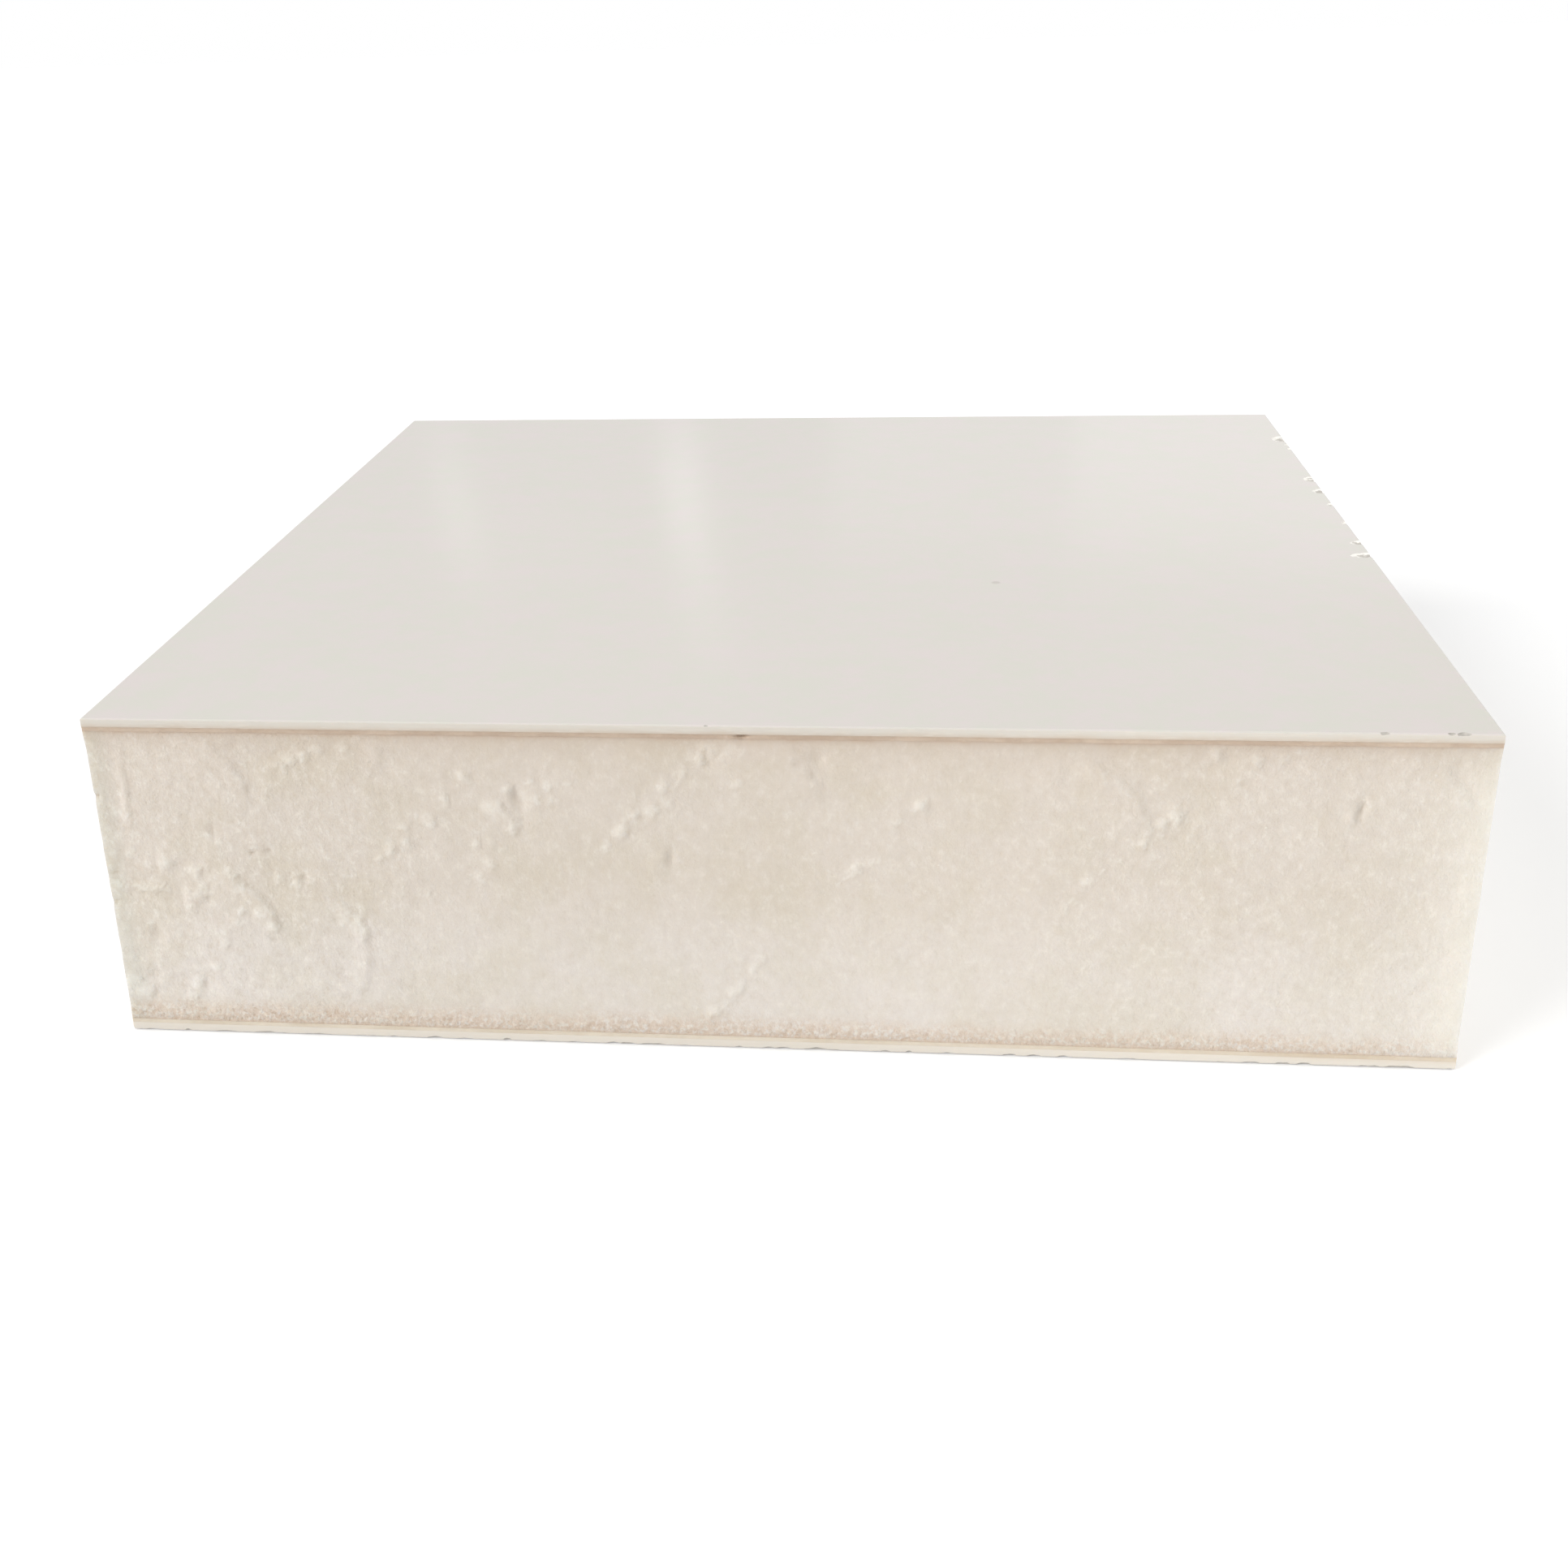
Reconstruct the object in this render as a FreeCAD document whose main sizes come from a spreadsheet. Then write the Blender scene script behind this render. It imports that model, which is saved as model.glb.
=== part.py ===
"""Insulated sandwich panel: a sawn sample of a flat composite panel.

Two glass-reinforced plastic skins with a gelcoat outer face are glued to a rigid foam core.
All five layers are cut flush at the four sawn sides.

The frame is in millimetres: +X along the length, +Y across the width, +Z up towards the
outer skin, with the origin at the middle of the bottom face.
"""

import FreeCAD, Part
import Sketcher
import os

SHEET = "panel_sizes"

# Driving dimensions in millimetres: alias, value, what it is.
SIZES = [
    ("panel_length", "305", "sawn length of the sample, along X"),
    ("panel_width", "300", "sawn width of the sample, along Y"),
    ("inner_skin_thickness", "2", "bottom laminate skin"),
    ("inner_bond_thickness", "1", "adhesive line under the core"),
    ("core_thickness", "74", "rigid foam core"),
    ("outer_bond_thickness", "1", "adhesive line over the core"),
    ("outer_skin_thickness", "2", "top laminate skin with its gelcoat"),
    ("arris_radius", "0.4", "eased edge round the outer face of each skin"),
]

# The layers from the bottom up: node name, and the size that gives its thickness.
LAYERS = [
    ("inner_skin", "inner_skin_thickness"),
    ("inner_bond", "inner_bond_thickness"),
    ("foam_core", "core_thickness"),
    ("outer_bond", "outer_bond_thickness"),
    ("outer_skin", "outer_skin_thickness"),
]

# A level is matched to this many millimetres when edges are picked by their height.
LEVEL_TOLERANCE = 1e-6

# Sketcher's numbers for the ends of a line, and for the sketch's own origin.
START, END = 1, 2
ORIGIN_POINT = (-1, 1)


def write_sizes(doc):
    """Put the driving dimensions into the document's spreadsheet."""
    sheet = doc.addObject("Spreadsheet::Sheet", SHEET)
    for row, (alias, value, meaning) in enumerate(SIZES, start=1):
        sheet.set(f"A{row}", alias)
        sheet.set(f"B{row}", value)
        sheet.setAlias(f"B{row}", alias)
        sheet.set(f"C{row}", meaning)
    doc.recompute()
    return sheet


def origin_plane(body, role):
    """One of the body's own origin planes, found by its role."""
    return next(feature for feature in body.Origin.OriginFeatures if feature.Role == role)


def centred_rectangle(body, name):
    """A sketch on the body's base plane: the panel's plan, centred on the origin."""
    sketch = body.newObject("Sketcher::SketchObject", name)
    sketch.AttachmentSupport = [(origin_plane(body, "XY_Plane"), "")]
    sketch.MapMode = "FlatFace"

    # The starting size only sets which way round the corners go; the two distances below hold it.
    half = 100
    corners = [(-half, -half), (half, -half), (half, half), (-half, half)]
    points = [FreeCAD.Vector(x, y, 0) for x, y in corners]
    sides = len(points)
    for side in range(sides):
        sketch.addGeometry(Part.LineSegment(points[side], points[(side + 1) % sides]), False)

    for side in range(sides):
        following = (side + 1) % sides
        direction = "Vertical" if side % 2 else "Horizontal"
        sketch.addConstraint(Sketcher.Constraint("Coincident", side, END, following, START))
        sketch.addConstraint(Sketcher.Constraint(direction, side))
    sketch.addConstraint(Sketcher.Constraint("Symmetric", 0, START, 2, START, *ORIGIN_POINT))

    along = sketch.addConstraint(Sketcher.Constraint("DistanceX", 0, START, 0, END, 2 * half))
    across = sketch.addConstraint(Sketcher.Constraint("DistanceY", 1, START, 1, END, 2 * half))
    sketch.renameConstraint(along, "length")
    sketch.renameConstraint(across, "width")
    sketch.setExpression("Constraints.length", f"{SHEET}.panel_length")
    sketch.setExpression("Constraints.width", f"{SHEET}.panel_width")
    return sketch


def make_layer(doc, name, thickness, below):
    """A flat layer as a body: its plan padded by its thickness, on top of the layers below it."""
    body = doc.addObject("PartDesign::Body", name)
    body.Label = name
    sketch = centred_rectangle(body, f"{name}_plan")
    pad = body.newObject("PartDesign::Pad", f"{name}_sheet")
    pad.Profile = sketch
    pad.setExpression("Length", f"{SHEET}.{thickness}")
    if below:
        level = " + ".join(f"{SHEET}.{alias}" for alias in below)
        body.setExpression("Placement.Base.z", level)
    doc.recompute()
    return body


def ease_outer_face(doc, body, outer_level):
    """Round the four edges of a skin's outer face, which lies at outer_level in its own body."""
    sheet_feature = body.Tip
    names = []
    for number, edge in enumerate(sheet_feature.Shape.Edges, start=1):
        heights = [vertex.Point.z for vertex in edge.Vertexes]
        if all(abs(height - outer_level) < LEVEL_TOLERANCE for height in heights):
            names.append(f"Edge{number}")
    arris = body.newObject("PartDesign::Fillet", f"{body.Name}_arris")
    arris.Base = (sheet_feature, names)
    arris.setExpression("Radius", f"{SHEET}.arris_radius")
    doc.recompute()


def check_document(doc):
    """Stop if any object failed, or a body has no valid shape."""
    for item in doc.Objects:
        failed = {"Invalid", "Error"} & set(item.State)
        if failed:
            raise RuntimeError(f"{item.Name} is {', '.join(sorted(failed))}")
    for name, _ in LAYERS:
        shape = doc.getObject(name).Shape
        if shape.isNull() or not shape.isValid() or len(shape.Solids) != 1:
            raise RuntimeError(f"{name} has no single valid solid")


def check_stack(doc):
    """Stop unless each layer starts exactly where the one below it ends."""
    level = 0.0
    for name, _ in LAYERS:
        box = doc.getObject(name).Shape.BoundBox
        if abs(box.ZMin - level) > LEVEL_TOLERANCE:
            raise RuntimeError(f"{name} starts at {box.ZMin}, not at {level}")
        level = box.ZMax


def export_layers(doc):
    """Write each layer's shape to its own STEP file."""
    os.makedirs("parts", exist_ok=True)
    for name, _ in LAYERS:
        shape = doc.getObject(name).Shape
        shape.exportStep(f"parts/{name}.step")
        box = shape.BoundBox
        print(
            f"{name}: {box.XLength:.1f} x {box.YLength:.1f} x {box.ZLength:.1f} mm,"
            f" from z = {box.ZMin:.1f}, {shape.Volume / 1000:.1f} cubic centimetres"
        )


def main():
    """Build the panel, check it and write its layers."""
    doc = FreeCAD.newDocument("insulated_sandwich_panel")
    sheet = write_sizes(doc)

    below = []
    for name, thickness in LAYERS:
        make_layer(doc, name, thickness, below)
        below.append(thickness)

    ease_outer_face(doc, doc.getObject("inner_skin"), 0.0)
    ease_outer_face(doc, doc.getObject("outer_skin"), float(sheet.outer_skin_thickness))

    doc.recompute()
    check_document(doc)
    check_stack(doc)
    export_layers(doc)


main()
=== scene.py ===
"""The looks of an insulated sandwich panel: a sawn sample with gelcoat skins and a foam core.

The panel lies on its inner skin. +X runs along its length, +Y across it away from the front side,
and +Z up to the outer skin. Blender works in metres. Sizes in this script are in millimetres
unless a docstring says otherwise, and MM turns them into metres.
"""

import logging
import math
import random
from collections.abc import Callable
from dataclasses import dataclass, field
from enum import Enum
from typing import Any

import bpy
from mathutils import Matrix, Vector


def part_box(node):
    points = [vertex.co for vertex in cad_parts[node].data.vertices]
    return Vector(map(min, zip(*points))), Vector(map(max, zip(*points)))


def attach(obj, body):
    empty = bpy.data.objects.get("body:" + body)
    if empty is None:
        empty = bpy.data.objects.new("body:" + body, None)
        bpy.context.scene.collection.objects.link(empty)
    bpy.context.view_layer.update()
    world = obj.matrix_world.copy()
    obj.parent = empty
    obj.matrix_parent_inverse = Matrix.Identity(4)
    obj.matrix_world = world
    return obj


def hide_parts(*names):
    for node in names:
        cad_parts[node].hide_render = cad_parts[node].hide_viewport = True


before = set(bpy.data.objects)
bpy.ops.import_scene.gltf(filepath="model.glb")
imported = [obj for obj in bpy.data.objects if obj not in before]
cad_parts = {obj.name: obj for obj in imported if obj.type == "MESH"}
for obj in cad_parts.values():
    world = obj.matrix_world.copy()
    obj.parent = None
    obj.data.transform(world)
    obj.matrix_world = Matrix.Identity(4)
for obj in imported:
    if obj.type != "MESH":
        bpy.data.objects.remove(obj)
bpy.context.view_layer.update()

MM = 0.001
BODY = "root"
LOG = logging.getLogger("panel")

Colour = tuple[float, float, float, float]
Triple = tuple[float, float, float]
Pair = tuple[float, float]


def srgb(red: int, green: int, blue: int) -> Colour:
    """Turn a display colour into the linear colour that a shader takes.

    Args:
        red: Red from 0 to 255.
        green: Green from 0 to 255.
        blue: Blue from 0 to 255.

    Returns:
        The linear colour, with an alpha of 1.
    """
    channels = []
    for level in (red, green, blue):
        share = level / 255
        channels.append(share / 12.92 if share <= 0.04045 else ((share + 0.055) / 1.055) ** 2.4)
    return (*channels, 1.0)


# ---------------------------------------------------------------------------------------------
# Node trees written as expressions
# ---------------------------------------------------------------------------------------------


def _operator(operation: str, swapped: bool = False) -> Callable[["Wire", Any], "Wire"]:
    """Make the method of one operator, which adds a Math or a Vector Math node.

    Args:
        operation: The node's operation.
        swapped: Whether the wire stands on the right, as in 1 - mask.

    Returns:
        The method.
    """

    def method(wire: "Wire", other: Any) -> "Wire":
        """Join the wire with a wire, a number or a triple."""
        sides = (other, wire) if swapped else (wire, other)
        settings = {"operation": operation}
        if not any(isinstance(one, tuple) or getattr(one, "is_vector", False) for one in sides):
            return wire.graph.node("ShaderNodeMath", settings, dict(enumerate(sides)))
        triples = [(one,) * 3 if isinstance(one, (int, float)) else one for one in sides]
        return wire.graph.node("ShaderNodeVectorMath", settings, dict(enumerate(triples)))

    return method


class Wire:
    """A node's output that takes part in Python expressions."""

    __add__, __radd__ = _operator("ADD"), _operator("ADD", swapped=True)
    __sub__, __rsub__ = _operator("SUBTRACT"), _operator("SUBTRACT", swapped=True)
    __mul__, __rmul__ = _operator("MULTIPLY"), _operator("MULTIPLY", swapped=True)
    __truediv__, __rtruediv__ = _operator("DIVIDE"), _operator("DIVIDE", swapped=True)
    at_least = _operator("MAXIMUM")

    def __init__(self, graph: "Graph", socket: bpy.types.NodeSocket) -> None:
        """Wrap an output socket of a node in graph."""
        self.graph = graph
        self.socket = socket

    @property
    def is_vector(self) -> bool:
        """Whether this wire carries a vector or a colour."""
        return self.socket.type in ("VECTOR", "RGBA")

    def __abs__(self) -> "Wire":
        """The size of self, without its sign."""
        return self.graph.node("ShaderNodeMath", {"operation": "ABSOLUTE"}, {0: self})

    def length(self) -> "Wire":
        """The length of a vector."""
        return self.graph.node("ShaderNodeVectorMath", {"operation": "LENGTH"}, {0: self})

    def parts(self) -> tuple["Wire", ...]:
        """The X, Y and Z of a vector."""
        return self.graph.outputs("ShaderNodeSeparateXYZ", {}, {"Vector": self})

    def ease(self, start: Any, end: Any) -> "Wire":
        """Change smoothly from 0 to 1.

        Args:
            start: What self is at 0, which may be the larger of the two.
            end: What self is at 1.

        Returns:
            The number from 0 to 1.
        """
        settings = {"interpolation_type": "SMOOTHSTEP"}
        sockets = {"Value": self, "From Min": start, "From Max": end}
        return self.graph.node("ShaderNodeMapRange", settings, sockets)


class Graph:
    """Adds nodes to one shader or geometry tree."""

    def __init__(self, tree: bpy.types.NodeTree) -> None:
        """Write into tree."""
        self.tree = tree

    @staticmethod
    def _find(sockets: Any, key: int | str) -> bpy.types.NodeSocket:
        """The socket with that number, or the first one in use with that name."""
        if isinstance(key, int):
            return sockets[key]
        return next(one for one in sockets if one.enabled and one.name == key)

    def end(self, kind: str, settings: dict[str, Any], sockets: dict[Any, Any]) -> bpy.types.Node:
        """Add a node whose outputs aren't needed: its settings first, then its sockets.

        Args:
            kind: The node's type.
            settings: Its properties.
            sockets: Input number or name to a value, a wire, or a list of wires.

        Returns:
            The node.
        """
        node = self.tree.nodes.new(kind)
        for name, value in settings.items():
            setattr(node, name, value)
        for key, value in sockets.items():
            socket = self._find(node.inputs, key)
            for one in reversed(value if isinstance(value, list) else [value]):
                if isinstance(one, Wire):
                    self.tree.links.new(one.socket, socket)
                else:
                    socket.default_value = one
        return node

    def outputs(self, kind: str, settings: dict[str, Any], sockets: dict[Any, Any]) -> tuple[Wire, ...]:
        """Add a node and give every output in use, in order."""
        node = self.end(kind, settings, sockets)
        return tuple(Wire(self, one) for one in node.outputs if one.enabled)

    def node(
        self,
        kind: str,
        settings: dict[str, Any] | None = None,
        sockets: dict[Any, Any] | None = None,
        output: str = "",
    ) -> Wire:
        """Add a node and give one of its outputs.

        Args:
            kind: The node's type.
            settings: Its properties, set before its sockets.
            sockets: Input number or name to a value, a wire, or a list of wires.
            output: The wanted output, or nothing for the first one in use.

        Returns:
            The output as a wire.
        """
        node = self.end(kind, settings or {}, sockets or {})
        if output:
            return Wire(self, self._find(node.outputs, output))
        return Wire(self, next(one for one in node.outputs if one.enabled))

    def vector(self, x: Any, y: Any, z: Any) -> Wire:
        """A vector from three numbers or wires."""
        return self.node("ShaderNodeCombineXYZ", {}, {"X": x, "Y": y, "Z": z})

    def blend(self, share: Any, start: Any, end: Any) -> Wire:
        """Mix the colour start with the colour end by share."""
        settings = {"data_type": "RGBA", "clamp_factor": True}
        return self.node("ShaderNodeMix", settings, {"Factor": share, "A": start, "B": end})

    def chance(self, low: Any, high: Any, seed: Any) -> Wire:
        """A random number, or a random vector where low and high are triples.

        Args:
            low: The lowest that it may be.
            high: The highest that it may be.
            seed: The seed that it comes from, which stays the same from run to run.

        Returns:
            The number or vector, for each point on its own.
        """
        kind = "FLOAT" if isinstance(low, float) else "FLOAT_VECTOR"
        sockets = {"Min": low, "Max": high, "Seed": seed}
        return self.node("FunctionNodeRandomValue", {"data_type": kind}, sockets)

    def above(self, reading: Wire, level: float) -> Wire:
        """Whether a reading is above a level."""
        sockets = {"A": reading, "B": level}
        return self.node("FunctionNodeCompare", {"operation": "GREATER_THAN"}, sockets)

    def turned_back(self, arrow: Wire, angle: Wire) -> Wire:
        """An arrow that lies flat, turned clockwise by an angle."""
        sockets = {"Vector": arrow, "Angle": angle * -1.0}
        return self.node("ShaderNodeVectorRotate", {"rotation_type": "Z_AXIS"}, sockets)

    def shape(self, kind: str, **sockets: Any) -> Wire:
        """Add a Geometry Nodes node that needs no settings.

        Args:
            kind: Its type, without the prefix that all of them share.
            sockets: Its input names, with _ for a space, to values or wires.

        Returns:
            Its first output.
        """
        named = {name.replace("_", " "): one for name, one in sockets.items()}
        return self.node(f"GeometryNode{kind}", {}, named)

    def store(self, geometry: Wire, name: str, kind: str, value: Any) -> Wire:
        """Keep a value at every point.

        Args:
            geometry: The points, or the mesh with them.
            name: The name to keep it under.
            kind: The kind of its data.
            value: The value.

        Returns:
            The geometry with the value.
        """
        settings = {"data_type": kind, "domain": "POINT"}
        sockets = {"Geometry": geometry, "Name": name, "Value": value}
        return self.node("GeometryNodeStoreNamedAttribute", settings, sockets)

    def stored(self, name: str, kind: str) -> Wire:
        """What store kept under a name."""
        return self.node("GeometryNodeInputNamedAttribute", {"data_type": kind}, {"Name": name})


class Kind(Enum):
    """What an input or output of a node group carries."""

    NUMBER = "NodeSocketFloat"
    COUNT = "NodeSocketInt"
    TRIPLE = "NodeSocketVector"
    MATERIAL = "NodeSocketMaterial"
    SHAPE = "NodeSocketGeometry"


class NodeGroup:
    """A geometry node group with named inputs and one result."""

    def __init__(self, name: str, inputs: dict[str, Kind], result: Kind) -> None:
        """Make the group without its nodes.

        Args:
            name: The group's name.
            inputs: What each input carries.
            result: What the result carries.
        """
        self.tree = bpy.data.node_groups.new(name, "GeometryNodeTree")
        self.graph = Graph(self.tree)
        for label, kind in inputs.items():
            self.tree.interface.new_socket(label, in_out="INPUT", socket_type=kind.value)
        self.tree.interface.new_socket("Result", in_out="OUTPUT", socket_type=result.value)
        self.inputs = dict(zip(inputs, self.graph.outputs("NodeGroupInput", {}, {})))

    def close(self, result: Wire) -> None:
        """Make result the group's own."""
        self.graph.end("NodeGroupOutput", {}, {"Result": result})

    def use(self, graph: Graph, values: dict[str, Any]) -> Wire:
        """Put the group into another tree, with a value or wire for each input."""
        return graph.node("GeometryNodeGroup", {"node_tree": self.tree}, values)


class ShapeTree(NodeGroup):
    """A node group that shapes a piece's mesh and gives it its materials."""

    def __init__(self, name: str, inputs: dict[str, Kind]) -> None:
        """Make the tree with a mesh input before the named ones."""
        super().__init__(name, {"Geometry": Kind.SHAPE, **inputs}, Kind.SHAPE)

    def coat(self, geometry: Wire, coats: dict[str, Wire | bool]) -> None:
        """End the tree in Realize Instances and one Set Material for each coat.

        Args:
            geometry: The shape made by the tree.
            coats: The name of a material input, to the faces that it goes on.
        """
        result = self.graph.shape("RealizeInstances", Geometry=geometry)
        for material, faces in coats.items():
            result = self.graph.shape(
                "SetMaterial", Geometry=result, Selection=faces, Material=self.inputs[material]
            )
        self.close(result)

    def run(self, piece: bpy.types.Object, values: dict[str, Any]) -> None:
        """Shape piece with the tree, and keep the result as its plain mesh.

        Args:
            piece: The object whose mesh goes in and is replaced.
            values: A value for each named input.
        """
        modifier = piece.modifiers.new(self.tree.name, "NODES")
        modifier.node_group = self.tree
        for item in self.tree.interface.items_tree:
            if item.in_out == "INPUT" and item.name in values:
                modifier[item.identifier] = values[item.name]
            if item.name in values and isinstance(values[item.name], bpy.types.Material):
                piece.data.materials.append(values[item.name])
        evaluated = piece.evaluated_get(bpy.context.evaluated_depsgraph_get())
        shaped = bpy.data.meshes.new_from_object(evaluated)
        piece.modifiers.remove(modifier)
        plain, piece.data = piece.data, shaped
        shaped.name = piece.name
        bpy.data.meshes.remove(plain)


# ---------------------------------------------------------------------------------------------
# Finishes
# ---------------------------------------------------------------------------------------------


@dataclass(frozen=True)
class Ramp:
    """A smooth change from 0, where a reading is start, to height, where it is end."""

    start: float
    end: float
    height: float = 1.0

    def of(self, reading: Wire) -> Wire:
        """The change at a reading."""
        return reading.ease(self.start, self.end) * self.height


@dataclass(frozen=True)
class Tint:
    """A colour that comes in over a range of a reading, up to a share.

    Where colour is a triple, it is what the colour under it is multiplied by.
    """

    colour: Colour | Triple
    start: float
    end: float
    share: float = 1.0

    def over(self, under: Any, reading: Wire, mask: Any = 1.0) -> Wire:
        """Lay the tint over a colour.

        Args:
            under: The colour under it.
            reading: What it comes in by.
            mask: What its share is multiplied by.

        Returns:
            The colour with the tint.
        """
        share = mask * reading.ease(self.start, self.end) * self.share
        full = under * self.colour if len(self.colour) == 3 else self.colour
        return reading.graph.blend(share, under, full)


@dataclass(frozen=True)
class Grain:
    """Smooth noise, by the size of its largest waves, its finer octaves and how strong they are.

    depth is how deep it goes where it is used as bumps, from their lowest to their highest, and
    finer is how many times finer it is along each axis.
    """

    size: float
    octaves: float = 2.0
    strength: float = 0.5
    depth: float = 1.0
    finer: Triple = (1.0, 1.0, 1.0)

    def at(self, place: Wire, output: str = "Fac") -> Wire:
        """Read the noise.

        Args:
            place: The place to read it at.
            output: The node's output: Fac for one number, or Color for three.

        Returns:
            The noise, from 0 to 1 and about 0.5 on average.
        """
        sockets = {
            "Vector": place * self.finer,
            "Scale": 1 / self.size,
            "Detail": self.octaves,
            "Roughness": self.strength,
        }
        return place.graph.node("ShaderNodeTexNoise", {}, sockets, output)

    def deep(self, noise: Wire) -> Wire:
        """The noise as bumps about 0."""
        return (noise - 0.5) * self.depth

    def bumps(self, place: Wire) -> Wire:
        """The bumps at a place."""
        return self.deep(self.at(place))

    def shift(self, place: Wire, unit: float = 1.0) -> Wire:
        """The noise as a shift about 0 in all three directions, in a unit."""
        return (self.at(place, "Color") - 0.5) * (self.depth * unit)


@dataclass(frozen=True)
class Finish:
    """A surface finish that makes its own material.

    scatter is how much light goes into it, scatter_depth how far, and scatter_radius how far each
    colour goes of that.
    """

    name: str
    roughness: float = 0.5
    specular: float = 0.5
    scatter: float = 0.0
    scatter_radius: Triple = (1.0, 0.8, 0.6)
    scatter_depth: float = 1.5

    def material(self) -> bpy.types.Material:
        """Make the material, named after the finish."""
        made = bpy.data.materials.new(self.name)
        made.use_nodes = True
        made.node_tree.nodes.clear()
        graph = Graph(made.node_tree)
        place = graph.node("ShaderNodeTexCoord", {}, {}, "Object") * (1 / MM)
        graph.end("ShaderNodeOutputMaterial", {}, {"Surface": self.shade(graph, place)})
        return made

    def shade(self, graph: Graph, place: Wire) -> Wire:
        """Write the finish's nodes.

        Args:
            graph: The tree to write in.
            place: The point on the piece.

        Returns:
            The finish's shader.
        """
        raise NotImplementedError

    def principled(self, colour: Wire, height: Wire) -> Wire:
        """The shader of a solid finish.

        Args:
            colour: Its colour.
            height: The height of its small bumps.

        Returns:
            The shader.
        """
        bump = {"Strength": 1.0, "Distance": MM, "Height": height}
        sockets = {
            "Base Color": colour,
            "Roughness": self.roughness,
            "Specular IOR Level": self.specular,
            "Subsurface Weight": self.scatter,
            "Subsurface Radius": self.scatter_radius,
            "Subsurface Scale": self.scatter_depth * MM,
            "Normal": colour.graph.node("ShaderNodeBump", {}, bump),
        }
        return colour.graph.node("ShaderNodeBsdfPrincipled", {}, sockets)


@dataclass(frozen=True)
class FoamFinish(Finish):
    """Rigid foam, sawn open: fine cells, pale crumbs, resin soaked in from both bond lines, and painted
    light and shade.
    """

    roughness: float = 0.9
    specular: float = 0.3
    scatter: float = 0.3
    scatter_radius: Triple = (1.0, 0.85, 0.65)
    scatter_depth: float = 6.0

    # The core's ends, and the colour of the plain foam, which changes with the height: paler and cooler
    # low down, as painted bounce light from the floor.
    bottom: float = 3.0
    top: float = 77.0
    end: float = 152.5
    lower: Colour = srgb(226, 219, 211)
    upper: Tint = Tint(srgb(221, 212, 201), 16, 44)

    # Slow patches, the grain that the saw left, and the cells. Both ends are coarser.
    tone: Grain = Grain(24, 4, 0.65)
    patches: Tint = Tint((0.96, 0.955, 0.915), 0.4, 0.66)
    grain: Grain = Grain(1.6, 4, 0.7, 0.14, (1.0, 1.0, 0.75))
    # Over the grain's own mottle, painted highlight where it is raised and painted shade where it is low.
    grain_mottle_and_highlight: Tint = Tint(srgb(240, 235, 226), 0.48, 0.75, 0.5)
    grain_mottle_and_shade: Tint = Tint(srgb(200, 186, 169), 0.5, 0.28, 0.25)
    cells: Grain = Grain(0.8, 2, 0.6, 0.11)
    # Painted glints on the brightest cells.
    painted_cell_glints: Tint = Tint(srgb(246, 243, 234), 0.66, 0.78, 0.5)
    middle_coarseness: float = 0.75
    coarser_left: Ramp = Ramp(-50, -110, 0.5)
    coarser_right: Ramp = Ramp(40, 100, 0.3)
    # Crumbs are paler broken cells, with painted highlight on them as well.
    crumbs: Tint = Tint(srgb(246, 243, 234), 0.25, 0.5, 0.35)
    # Painted shade in the deeper hollows, by how far the side was carved there.
    painted_hollow_shade: Tint = Tint(srgb(200, 186, 169), 0.7, 1.6, 0.9)

    # Resin that soaked up from the lower bond line, to a ragged edge, and set as grains: partly their own
    # colour, with painted shade on the low ones and painted glints on the raised ones.
    fringe: Grain = Grain(9, 4, 0.75)
    fringe_below: float = 5.0
    soak: float = 7.4
    shallower_right: Ramp = Ramp(-60, 40)
    speckle: Grain = Grain(1.0, 2, 0.6)
    resin: Tint = Tint(srgb(215, 197, 180), 0.68, 0.42)
    granules: Grain = Grain(1.5, 3, 0.7, 0.3)
    grittiness: float = 0.85
    grittier_left: Ramp = Ramp(-50, -110, 0.5)
    dark_grit_and_shade: Tint = Tint(srgb(190, 166, 143), 0.5, 0.34, 0.5)
    pale_grit_and_glints: Tint = Tint(srgb(245, 233, 217), 0.52, 0.68, 0.42)
    soaked_cells: float = 1.2
    glue: Tint = Tint(srgb(234, 209, 183), 1.0, 0.1, 0.5)

    # Resin under the upper bond line.
    fringe_above: float = 1.5
    resin_above: Colour = srgb(205, 183, 162)

    # Painted light: a pale glow for the daylight that soaks into the foam from its sawn right face,
    # painted brightness and shade along its length, and painted shade at the left end near the front.
    painted_daylight: Colour = srgb(246, 243, 234)
    painted_daylight_reach: float = 8.0
    painted_daylight_share: float = 0.55
    less_painted_daylight: Ramp = Ramp(64, 77, -0.3)
    # Painted light and shade along the length: brighter to the right and near the left end, darker at the
    # very right edge.
    brighter: tuple[Ramp, ...] = (Ramp(-40, 60, 0.045), Ramp(-110, -135, 0.03), Ramp(148, 152, -0.05))
    # Painted shade: darker and greener along the left end, near the front.
    painted_left_shade: Tint = Tint((0.9, 0.93, 0.93), -145.5, -151)
    painted_left_shade_front: Ramp = Ramp(-120, -148)

    def shade(self, graph: Graph, place: Wire) -> Wire:
        """Write the foam's nodes and give its shader."""
        x, y, height = place.parts()
        grain, cells, granules = (one.at(place) for one in (self.grain, self.cells, self.granules))
        hollow = graph.node("ShaderNodeAttribute", {"attribute_name": "carved"}, {}, "Vector").length()
        crumb = graph.node("ShaderNodeAttribute", {"attribute_name": "crumb"}, {}, "Fac")
        coarse = self.middle_coarseness + self.coarser_left.of(x) + self.coarser_right.of(x)
        # Painted bounce light: the plain foam is paler and cooler low down.
        colour = self.patches.over(self.upper.over(self.lower, height), self.tone.at(place))
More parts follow.
